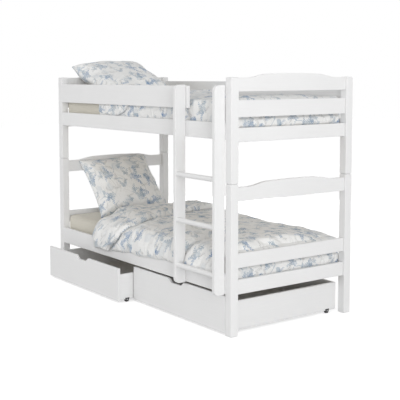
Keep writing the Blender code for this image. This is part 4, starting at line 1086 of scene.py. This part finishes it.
LOWER = DuvetPlan("lower", -0.528, -0.488, 0.019, 0.390)
UPPER = DuvetPlan("upper", -0.398, -0.486, 0.007, 1.267)
POST_OUT_Y = measured(LOWER.bed_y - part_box("lower_post_front_left")[0].y)
SIDE_RAIL_TOP = measured(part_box("lower_side_rail_front")[1].z)

# Where the duvets lie flat across the bed, and where they bend down, as shares of the way across
TOP_STOPS = (0.432, 0.22, 0.0, -0.22)
LOWER_HANG_SHARES = (0.66, 0.82)
UPPER_HANG_SHARES = (0.70, 0.78)
UPPER_SKEW_SHARES = (0.70, 0.80)

# Tables of places along the bed with the hem's height or the loft there
LOWER_HEM = ((-0.530, 0.296), (-0.310, 0.297), (-0.130, 0.308), (-0.030, 0.322), (0.090, 0.317),
             (0.250, 0.330), (0.400, 0.343), (0.600, 0.342), (0.800, 0.328), (0.940, 0.316))
LOWER_BACK_LOFTS = ((-0.30, 0.056), (-0.05, 0.055), (0.10, 0.050), (0.20, 0.043), (0.36, 0.034),
                    (0.54, 0.037), (0.67, 0.039), (0.765, 0.034), (0.92, 0.024))
UPPER_LOFTS = ((-0.40, 0.038), (-0.10, 0.036), (0.25, 0.026), (0.50, 0.018), (0.80, 0.022), (0.96, 0.021))
UPPER_BACK_LOFTS = ((-0.44, 0.036), (-0.34, 0.032), (-0.15, 0.020), (0.04, 0.005), (0.20, 0.009),
                    (0.30, 0.015), (0.47, 0.020), (0.65, 0.019), (0.89, 0.010), (1.30, 0.014))
LOWER_LOFT = 0.046
UPPER_LEAST_LOFT = 0.002
UPPER_HEM = 1.2155
UPPER_SIDE_GAP = 0.0015
UPPER_BACK_Y = 0.40
BACK_SLANT = 1.21
BACK_FALL = 0.022

# The turned-back end: its slanting edge by shares of the way across, and its loft and rolled edge
TURN_EDGE_SHARES = ((0.0, -0.275), (0.256, -0.242), (0.41, -0.195), (0.60, -0.158), (0.73, -0.120),
                    (0.80, -0.105), (0.84, -0.125), (0.90, -0.160), (1.0, -0.285))
TURN_EDGE_GAP = 0.004
TURN_OVERHANG = 0.006
TURN_LIE_GAP = 0.002
TURN_LOFT = 0.052
TURN_SEAM = 0.035
TURN_ROLL = 0.021
TURN_BACK_ROLL = 0.009
TURN_ROWS = 26
TURN_COLUMNS = 70
UNDER_TURN_SHARE = 0.5

# Waves of the duvets: height, scale and seed
LOWER_BILLOWS = ((0.006, 2.6, 1.0), (0.004, 6.5, 6.0))
LOWER_BILLOW_BASE = 0.003
TURN_BILLOWS = ((0.010, 5.0, 12.0),)
UPPER_BILLOWS = ((0.004, 2.9, 3.0), (0.003, 7.5, 8.0))
HEM_SAG = ((0.004, 3.0, 2.0),)
FOOT_BILLOWS = ((0.003, 9.0, 5.0),)

# Their long folds: height, the two ways in which the noise is read, scale and seed
LOWER_FRONT_FOLDS = (0.009, (0.8, 0.9), (0, 0.5), 3.2, 7.0)
LOWER_TOP_FOLDS = (0.008, (0.5, -0.8), (0.35, 0.2), 4.1, 21.0)
LOWER_DRAPES = (0.009, (1, 0), (0, 0), 4.2, 11.0)
TURN_FOLDS = (0.010, (0, 1), (0.4, 0), 5.5, 13.0)
TURN_DRAPES = (0.006, (1, 0), (0, 1), 9.0, 15.0)
UPPER_FOLDS = (0.006, (0.6, 0.7), (-0.2, 0.4), 3.6, 31.0)

# Single creases: middle and width
TURN_CREASE = (0, 0.018)
STILE_PRESS_WIDTH = 0.045
BACK_LIP = (0.38, 0.020)
BACK_GROOVE = (0.325, 0.020)
CORNER_TUCK = (-0.006, 0.012)


def lower_across(station):
    """Across the lower bed: over the mattress, over the rail's edge and down outside it to the hem."""
    lay = LOWER.lay
    rail = POST_OUT_Y + LAY_GAP
    hem = along_table(LOWER_HEM, station)
    sag = billows(station, 0, 0, HEM_SAG)
    return [*((stop, lay) for stop in TOP_STOPS), (-0.405, lay), (-0.446, lay - 0.012),
            (-0.476 - sag, SIDE_RAIL_TOP + 0.052), (-rail - 0.003, SIDE_RAIL_TOP + 0.008),
            (-rail - 0.001, (hem + SIDE_RAIL_TOP) / 2), (-rail, hem)]


def upper_across(station):
    """Across the upper bed, the same at each station: over the mattress and down inside the guard board."""
    lay = UPPER.lay
    side = UPPER.mattress_y + UPPER_SIDE_GAP
    return [*((stop, lay) for stop in TOP_STOPS), (-side + 0.030, lay), (-side + 0.006, lay - 0.006),
            (-side, lay - 0.030), (-side, (lay + UPPER_HEM) / 2), (-side, UPPER_HEM)]


def lower_thickness(x, share, run, length, y):
    """Loft of the lower duvet with its broad billows; it is pressed flat under the turned-back end."""
    hang = rise(share, *LOWER_HANG_SHARES)
    back = rise(y, 0.05, 0.32)
    past_turn = x - along_table(TURN_EDGE_SHARES, share) - TURN_EDGE_GAP
    under = rise(past_turn, 0.07, 0)
    flat = blend(LOWER_LOFT, LOWER.edge_loft, hang)
    flat = blend(flat, along_table(LOWER_BACK_LOFTS, x), back)
    billow = (LOWER_BILLOW_BASE + billows(x, y, 0, LOWER_BILLOWS)) * (1 - 0.75 * back)
    crests = folds(x, y, *LOWER_FRONT_FOLDS) * rise(share, 0.3, 0.6)
    crests += folds(x, y, *LOWER_TOP_FOLDS) * (1 - hang)
    crests *= 1 - 0.85 * back
    drape = folds(x, y, *LOWER_DRAPES) * hang
    crease = blend(0.007, 0.013, back) * hump(past_turn, *TURN_CREASE)
    pressed = 1 - 0.8 * hump(x, STILE_X, STILE_PRESS_WIDTH) * rise(share, 0.45, 0.60)
    thick = flat * (1 - UNDER_TURN_SHARE * under) + (billow + crests + drape) * (1 - 0.8 * under) - crease
    return thick * pressed * border_share(x - LOWER.head_x, 0.05) * border_share(DUVET_TOP_END - x, 0.10) \
        * border_share(run, 0.035) * blend(0.35, 1, border_share(length - run, 0.03))


def upper_thickness(x, share, run, length, y):
    """Loft of the upper duvet: fuller at its head, with a slanting hollow, a back fold and a tuck."""
    hang = rise(share, *UPPER_HANG_SHARES)
    back = rise(y, -0.30, 0)
    slanting = max(x + BACK_SLANT * (y - UPPER_BACK_Y), UPPER_BACK_LOFTS[0][0])
    slant = along_table(UPPER_BACK_LOFTS, slanting) + BACK_FALL * (UPPER_BACK_Y - y)
    loft = blend(along_table(UPPER_LOFTS, x), slant, back)
    flat = blend(loft, UPPER.edge_loft, hang)
    billow = (billows(x, y, 0, UPPER_BILLOWS) + folds(x, y, *UPPER_FOLDS)) * (1 - 0.7 * back)
    fold = (0.015 * hump(y, *BACK_LIP) - 0.020 * hump(y, *BACK_GROOVE)) * rise(x, -0.16, -0.32)
    height = UPPER_HEM + length - run
    tuck = 0.007 * hump(height - along_table(CORNER_FOLD, x), *CORNER_TUCK)
    tuck *= hang * rise(x, -0.30, -0.24) * rise(x, -0.04, -0.07)
    thick = max(flat + (billow + fold) * (1 - hang) - tuck, UPPER_LEAST_LOFT)
    return thick * border_share(x - UPPER.head_x + 0.1 * hang, 0.05) * border_share(DUVET_TOP_END - x, 0.10) \
        * border_share(run, 0.035) * blend(0.5, 1, border_share(length - run, 0.02))


# The slot that leaves room for the ladder's stile
SLOT_SIDE_GAP = 0.0020
SLOT_BACK_GAP = 0.003
SLOT_EDGE = 0.004
SLOT_HELD = 0.02


def stations_between(places):
    """Evenly stepped stations that hit every given place."""
    found = []
    for first, second in zip(places, places[1:]):
        count = max(1, round((second - first) / CELL))
        found += [first + (second - first) * part / count for part in range(count)]
    return [*found, places[-1]]


def make_duvet(plan, across, thickness, columns, bend, slot=()):
    """A duvet on stations along the bed and even steps across it, with a slot for the ladder's stile."""
    cuts = (slot[0] - SLOT_EDGE, *slot, slot[1] + SLOT_EDGE) if slot else ()
    stations = stations_between((plan.head_x, *cuts, DUVET_TOP_END))
    paths = [smooth_path(across(station), columns) for station in stations]

    def spot(row, column, lift):
        point, way, run = paths[row][column]
        share = column / columns
        x = plan.shifted(stations[row], rise(share, *bend))
        if lift:
            point = point + way * (EDGE_SEAM + thickness(x, share, run, paths[row][-1][2], point.x))
        return Vector((x, plan.bed_y + point.x, point.y))

    def skip(row, column):
        return bool(slot) and slot[0] - NEARLY <= stations[row] < slot[1] - NEARLY \
            and spot(row, column + 1, True).y < STILE_HIGH.y + SLOT_BACK_GAP

    def held(point):
        return bool(slot) and point.y < STILE_HIGH.y + SLOT_HELD \
            and slot[0] - NEARLY < point.x < slot[1] + NEARLY

    start_x, start_y = PRINT_STARTS["top"]
    return closed_quilt(
        f"{plan.tier}_duvet_top", len(stations) - 1, columns, spot,
        lambda row, column: (stations[row] + start_x, paths[row][column][2] + start_y), skip, held)


def make_lower_turnback():
    """The head end of the lower duvet, turned back over itself as far as a slanting edge."""
    def spot(row, column, lift):
        share = column / TURN_COLUMNS
        hang = rise(share, *LOWER_HANG_SHARES)
        edge = along_table(TURN_EDGE_SHARES, share)
        head = blend(LOWER.head_x, LOWER.flap_head_x, hang) - TURN_OVERHANG
        x = blend(head, edge, row / TURN_ROWS)
        path = smooth_path(lower_across(x), TURN_COLUMNS)
        point, way, run = path[column]
        roll = (TURN_ROLL + TURN_BACK_ROLL * rise(share, 0.55, 0.30)) * (1 - 0.75 * hang)
        under = blend(LOWER_LOFT, LOWER.edge_loft, hang) * (1 - UNDER_TURN_SHARE)
        lift_off = (EDGE_SEAM + under + TURN_LIE_GAP) * blend(0.25, 1, border_share(x - head + 0.004, 0.05))
        if lift:
            thick = TURN_LOFT * (1 - 0.60 * hang) + billows(x, point.x, 0, TURN_BILLOWS)
            thick += folds(x, point.x, *TURN_FOLDS) * (1 - hang) + folds(x, point.y, *TURN_DRAPES) * hang
            seam = border_share(edge - x, TURN_SEAM)
            thick *= border_share(x - head, 0.045) * seam * border_share(run, TURN_SEAM)
            lift_off += EDGE_SEAM + roll * (1 - seam)
            lift_off += max(thick, 0.0) * blend(0.35, 1, border_share(path[-1][2] - run, 0.03))
        else:
            lift_off += roll * (1 - border_share(edge - x, 0.030))
        return Vector((x, LOWER.bed_y + point.x, point.y)) + Vector((0, way.x, way.y)) * lift_off

    start_x, start_y = PRINT_STARTS["turnback"]
    return closed_quilt("lower_duvet_turnback", TURN_ROWS, TURN_COLUMNS, spot,
                        lambda row, column: (start_x - CELL * row, CELL * column + start_y))


# Foot flaps, hanging between the mattress and the end rails: their bend from the foot of the mattress's top
FOOT_BEND = ((-0.060, 0.001), (-0.030, 0.0008), (-0.008, -0.003), (0.0, -0.020))
FOOT_SIDE_GAP = 0.004
FOOT_LOFT = 0.019
FOOT_HEMS = {"lower": 0.3085, "upper": 1.2050}
FOOT_RAIL_PRESS = 0.008
FOOT_POST_CLEAR = 0.0125
FOOT_POST_REACH = 0.024
FOOT_ROWS = 34
FOOT_COLUMNS = 72


def make_foot_flap(plan):
    """The foot end of a duvet, down between the mattress and the end rails."""
    foot = plan.foot_x + LAY_GAP
    half_y = measured(plan.mattress_y - FOOT_SIDE_GAP)
    hem = FOOT_HEMS[plan.tier]
    bend = [(-foot - x, plan.lay + z) for x, z in FOOT_BEND]
    path = smooth_path([*bend, (-foot, (plan.lay + hem) / 2), (-foot, hem)], FOOT_ROWS)

    def spot(row, column, lift):
        point, way, run = path[row]
        y = half_y * (2 * column / FOOT_COLUMNS - 1)
        if lift:
            full = border_share(path[-1][2] - run, 0.02) * border_share(half_y - abs(y), 0.008)
            thick = (FOOT_LOFT + billows(y, run, 0, FOOT_BILLOWS)) * blend(0.4, 1, full)
            thick *= blend(0.3, 1, rise(run, 0, 0.05))
            thick *= 1 - 0.85 * hump(point.y, plan.rail_z, FOOT_RAIL_PRESS)
            past = rise(abs(y), half_y - FOOT_POST_REACH, half_y - FOOT_POST_REACH + 0.010)
            point = point + way * (EDGE_SEAM + blend(thick, min(thick, FOOT_POST_CLEAR), past))
        return Vector((-point.x, plan.bed_y + y, point.y))

    start_x, start_y = PRINT_STARTS["foot"]
    return closed_quilt(
        f"{plan.tier}_duvet_foot", FOOT_ROWS, FOOT_COLUMNS, spot,
        lambda row, column: (path[row][2] + start_x, half_y * (1 - 2 * column / FOOT_COLUMNS) + start_y))


# The upper duvet's turned head corner: the height of its round fold along the bed, and its size
CORNER_FOLD = ((-0.484, 1.258), (-0.40, 1.246), (-0.29, 1.238), (-0.22, 1.245), (-0.17, 1.259),
               (-0.13, 1.280), (-0.10, 1.308), (-0.075, 1.333))
CORNER_TOP = 1.335
CORNER_LOFT = 0.0032
CORNER_SEAM = 0.0012
CORNER_ROWS = 14
CORNER_COLUMNS = 52


def make_upper_corner():
    """The upper duvet's head corner, turned over on its hanging side in a round fold."""
    lining_y = UPPER.mattress_y + 2 * UPPER_SIDE_GAP + EDGE_SEAM + UPPER.edge_loft
    head = CORNER_FOLD[0][0]
    width = CORNER_FOLD[-1][0] - head

    def spot(row, column, lift):
        x = head + width * column / CORNER_COLUMNS
        low = along_table(CORNER_FOLD, x)
        z = blend(low, CORNER_TOP, (row / CORNER_ROWS) ** 1.5)
        out = 0.0
        if lift:
            up = (z - low) * (1 - 0.35 * rise(x, -0.20, -0.08))
            out = CORNER_SEAM + CORNER_LOFT * border_share(up, 0.010) * border_share(x - head, 0.012)
        return Vector((x, UPPER.bed_y - lining_y - out, z))

    start_x, start_y = PRINT_STARTS["corner"]
    return closed_quilt(
        "upper_duvet_corner", CORNER_ROWS, CORNER_COLUMNS, spot,
        lambda row, column: (width * column / CORNER_COLUMNS + start_x, 0.1 * row / CORNER_ROWS + start_y))


# How far the cloth may carry a point: on the top, towards the back edge and on the hanging flap
BACK_CAP = 0.004
FOOT_CAP = 0.002
FLAP_Y = -0.405


def duvet_cap(plan, flat_cap, hang_cap):
    def cap(point):
        y = point.y - plan.bed_y
        return blend(flat_cap, BACK_CAP, rise(y, 0.10, 0.30)) if y > FLAP_Y else hang_cap
    return cap


def make_bedding():
    """Shape, blow up and seat every pillow and duvet."""
    slot = (STILE_LOW.x - SLOT_SIDE_GAP, STILE_HIGH.x + SLOT_SIDE_GAP)
    lower_top = make_duvet(LOWER, lower_across, lower_thickness, 72, LOWER_HANG_SHARES, slot)
    lower_turn = make_lower_turnback()
    lower_foot = make_foot_flap(LOWER)
    upper_top = make_duvet(UPPER, upper_across, upper_thickness, 70, UPPER_SKEW_SHARES)
    upper_corner = make_upper_corner()
    upper_foot = make_foot_flap(UPPER)
    frames = {tier: node_frame(f"{tier}_pillow", lean) for tier, lean in PILLOW_LEANS.items()}
    pillows = {tier: make_pillow_shape(tier, half) for tier, (half, _) in frames.items()}

    # Each cloth: its piece, its pressure, how much it grows, whether its lining is pinned, and its caps
    run_cloth([(lower_top, 1.4, 0.06, True, duvet_cap(LOWER, 0.013, 0.007)),
               (lower_turn, 1.6, 0.06, True, duvet_cap(LOWER, 0.013, 0.007)),
               (lower_foot, 0.6, 0.02, True, lambda point: FOOT_CAP),
               (upper_top, 1.4, 0.05, True, duvet_cap(UPPER, 0.005, 0.001)),
               (upper_foot, 0.6, 0.02, True, lambda point: FOOT_CAP),
               *((case, 4.0, 0.04, False, lambda point: PILLOW_CAP) for case in pillows.values())])

    front = ["lower_side_rail_front", "ladder_stile_left", "ladder_stile_right", "lower_post_front_right"]
    guard = ["upper_side_rail_front", "guard_rail_front"]
    foot = ("right_mid_rail", "right_bottom_rail", "post_front_right", "post_back_right")
    for obj, tier, names in (
            (lower_top, "lower", front), (lower_turn, "lower", front),
            (lower_foot, "lower", [f"lower_{name}" for name in foot]), (upper_top, "upper", guard),
            (upper_foot, "upper", [f"upper_{name}" for name in foot]), (upper_corner, "upper", guard)):
        keep_clear(obj, names)
        refine(obj)
        dress(obj, "cotton", "printed_cotton", f"{tier}_bed", f"{tier}_duvet")
    for tier, case in pillows.items():
        half, place = frames[tier]
        seat_pillow(case, tier, place, half)


# Small fittings
PLATE_WIDTH = 0.032
PLATE_HEIGHT = 0.025
PLATE_THICKNESS = 0.003
PLATE_Z = 0.0165
PIN_HEAD_RADIUS = 0.0045
PIN_HEAD_HEIGHT = 0.0016
SLATS = 14
SLAT_WIDTH = 0.070
STRAP_YS = (-0.25, 0.25)
STAPLE_STEPS = (-0.008, 0.008)
STAPLE_CROWN = 0.012
STAPLE_WIRE = 0.0012
STAPLE_GAP = 0.0002


def make_fitting(name, body, tree, finish, places, ways=(), **sizes):
    """Small parts of one kind at every place on one body."""
    mesh = bpy.data.meshes.new(name)
    mesh.from_pydata(places, [], [])
    if ways:
        mesh.attributes.new("way_out", "FLOAT_VECTOR", "POINT").data.foreach_set(
            "vector", [part for way in ways for part in way])
    dress(grown(scene_object(name, mesh), tree, finish, **sizes), finish, "black_plastic", body)


def castors(drawer):
    """The way out, the side panel's two faces and the wheel's centre of every castor of a drawer."""
    for x_name, way in (("left", -1), ("right", 1)):
        low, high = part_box(f"{drawer}_side_{x_name}")
        for y_name in ("front", "back"):
            wheel_low, wheel_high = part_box(f"{drawer}_wheel_{y_name}_{x_name}")
            yield way, {-1: low.x, 1: high.x}, (wheel_low + wheel_high) / 2


def make_castor_plates(drawer):
    """A black housing plate on the outer face of a drawer side at every castor."""
    places = [(faces[way] + way * PLATE_THICKNESS / 2, centre.y, PLATE_Z)
              for way, faces, centre in castors(drawer)]
    make_fitting(f"{drawer}_castor_plates", drawer, "plates", "plastic", places,
                 Width=PLATE_WIDTH, Height=PLATE_HEIGHT, Thickness=PLATE_THICKNESS)


def make_axle_heads(drawer):
    """A peened pin head on both faces of a drawer side at every castor, outside its housing plate."""
    places = []
    ways = []
    for way, faces, centre in castors(drawer):
        for side, x in faces.items():
            plate = PLATE_THICKNESS if side == way else 0.0
            places.append((x + side * plate, centre.y, centre.z))
            ways.append((side, 0, 0))
    make_fitting(f"{drawer}_axle_heads", drawer, "heads", "steel", places, ways,
                 Radius=PIN_HEAD_RADIUS, Height=PIN_HEAD_HEIGHT)


def make_staples(tier):
    """Two staples on every slat and strap of a slatted base."""
    low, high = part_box(f"{tier}_slat_base")
    bed_y = (low.y + high.y) / 2
    pitch = (high.x - low.x - SLAT_WIDTH) / (SLATS - 1)
    places = [(low.x + SLAT_WIDTH / 2 + slat * pitch, bed_y + y + step, low.z - STAPLE_GAP)
              for slat in range(SLATS) for y in STRAP_YS for step in STAPLE_STEPS]
    make_fitting(f"{tier}_webbing_staples", f"{tier}_bed", "staples", "steel", places,
                 Crown=STAPLE_CROWN, Wire=STAPLE_WIRE)


# Stage, lamps and camera

def background_rays(sheet):
    """1 where the floor or the surround is seen by the camera or in a reflection, 0 where it only lights."""
    rays = sheet.add("ShaderNodeLightPath").outputs
    seen = sheet.larger(rays["Is Camera Ray"], rays["Is Glossy Ray"])
    return sheet.larger(seen, rays["Is Transmission Ray"])


def make_floor():
    """A pale floor that takes the shadow and is seen white."""
    reach = FLOOR_REACH
    mesh = bpy.data.meshes.new("floor")
    mesh.from_pydata([(-reach, -reach, 0), (reach, -reach, 0), (reach, reach, 0), (-reach, reach, 0)], [],
                     [(0, 1, 2, 3)])
    floor = scene_object("floor", mesh)
    sheet = MaterialSheet("floor")
    glow = sheet.times(background_rays(sheet), FLOOR_GLOW)
    sheet.look({"Base Color": FLOOR_GREY, "Roughness": 1.0, "Specular IOR Level": 0.0,
                "Emission Color": WHITE, "Emission Strength": glow})
    mesh.materials.append(sheet.material)


def make_surround():
    """A surround that is seen white and lights softly: most from low down and from the right front."""
    world = bpy.data.worlds.new("studio")
    world.use_nodes = True
    bpy.context.scene.world = world
    sheet = NodeSheet(world.node_tree)
    background = world.node_tree.nodes["Background"].inputs
    sheet.feed(background["Color"], WHITE)
    seen = background_rays(sheet)
    x, y, height = sheet.split(sheet.add("ShaderNodeTexCoord").outputs["Generated"])
    facing = sheet.plus(sheet.times(x, SURROUND_SIDE[0]), sheet.times(y, SURROUND_SIDE[1]))
    soft = sheet.times(sheet.span(height, *SURROUND_BY_HEIGHT), sheet.span(facing, *SURROUND_BY_SIDE))
    sheet.feed(background["Strength"], sheet.plus(seen, sheet.times(soft, sheet.minus(1.0, seen))))


def make_softbox(name, place, aim, power, size):
    light = bpy.data.lights.new(name, "AREA")
    light.energy = power
    light.size = size
    lamp = scene_object(name, light)
    turn = (Vector(place) - Vector(aim)).to_track_quat("Z", "Y").to_matrix().to_4x4()
    lamp.matrix_world = Matrix.Translation(place) @ turn
    lamp.visible_camera = False


def make_camera():
    data = bpy.data.cameras.new("photo_view")
    data.sensor_width = CAMERA_SENSOR
    data.lens = CAMERA_LENS
    data.shift_x, data.shift_y = CAMERA_SHIFT
    level = Vector((math.cos(CAMERA_YAW), math.sin(CAMERA_YAW), 0))
    forward = Vector((-level.y, level.x, 0)) * math.cos(CAMERA_PITCH) + Vector((0, 0, math.sin(CAMERA_PITCH)))
    upright = level.cross(forward)
    right = level * math.cos(CAMERA_ROLL) + upright * math.sin(CAMERA_ROLL)
    up = upright * math.cos(CAMERA_ROLL) - level * math.sin(CAMERA_ROLL)
    camera = scene_object("photo_view", data)
    turn = Matrix((right, up, -forward)).transposed().to_4x4()
    camera.matrix_world = Matrix.Translation(CAMERA_PLACE) @ turn
    bpy.context.scene.camera = camera


make_camera()
dress_cad_nodes()
for tier_name in ("lower", "upper"):
    make_mattress(tier_name)
make_bedding()
for make in (make_castor_plates, make_axle_heads):
    for drawer_name in ("drawer_left", "drawer_right"):
        make(drawer_name)
for tier_name in ("lower", "upper"):
    make_staples(tier_name)
make_floor()
make_surround()
for lamp_name, lamp_values in SOFTBOXES.items():
    make_softbox(lamp_name, *lamp_values)
bpy.context.scene.view_settings.view_transform = "Standard"
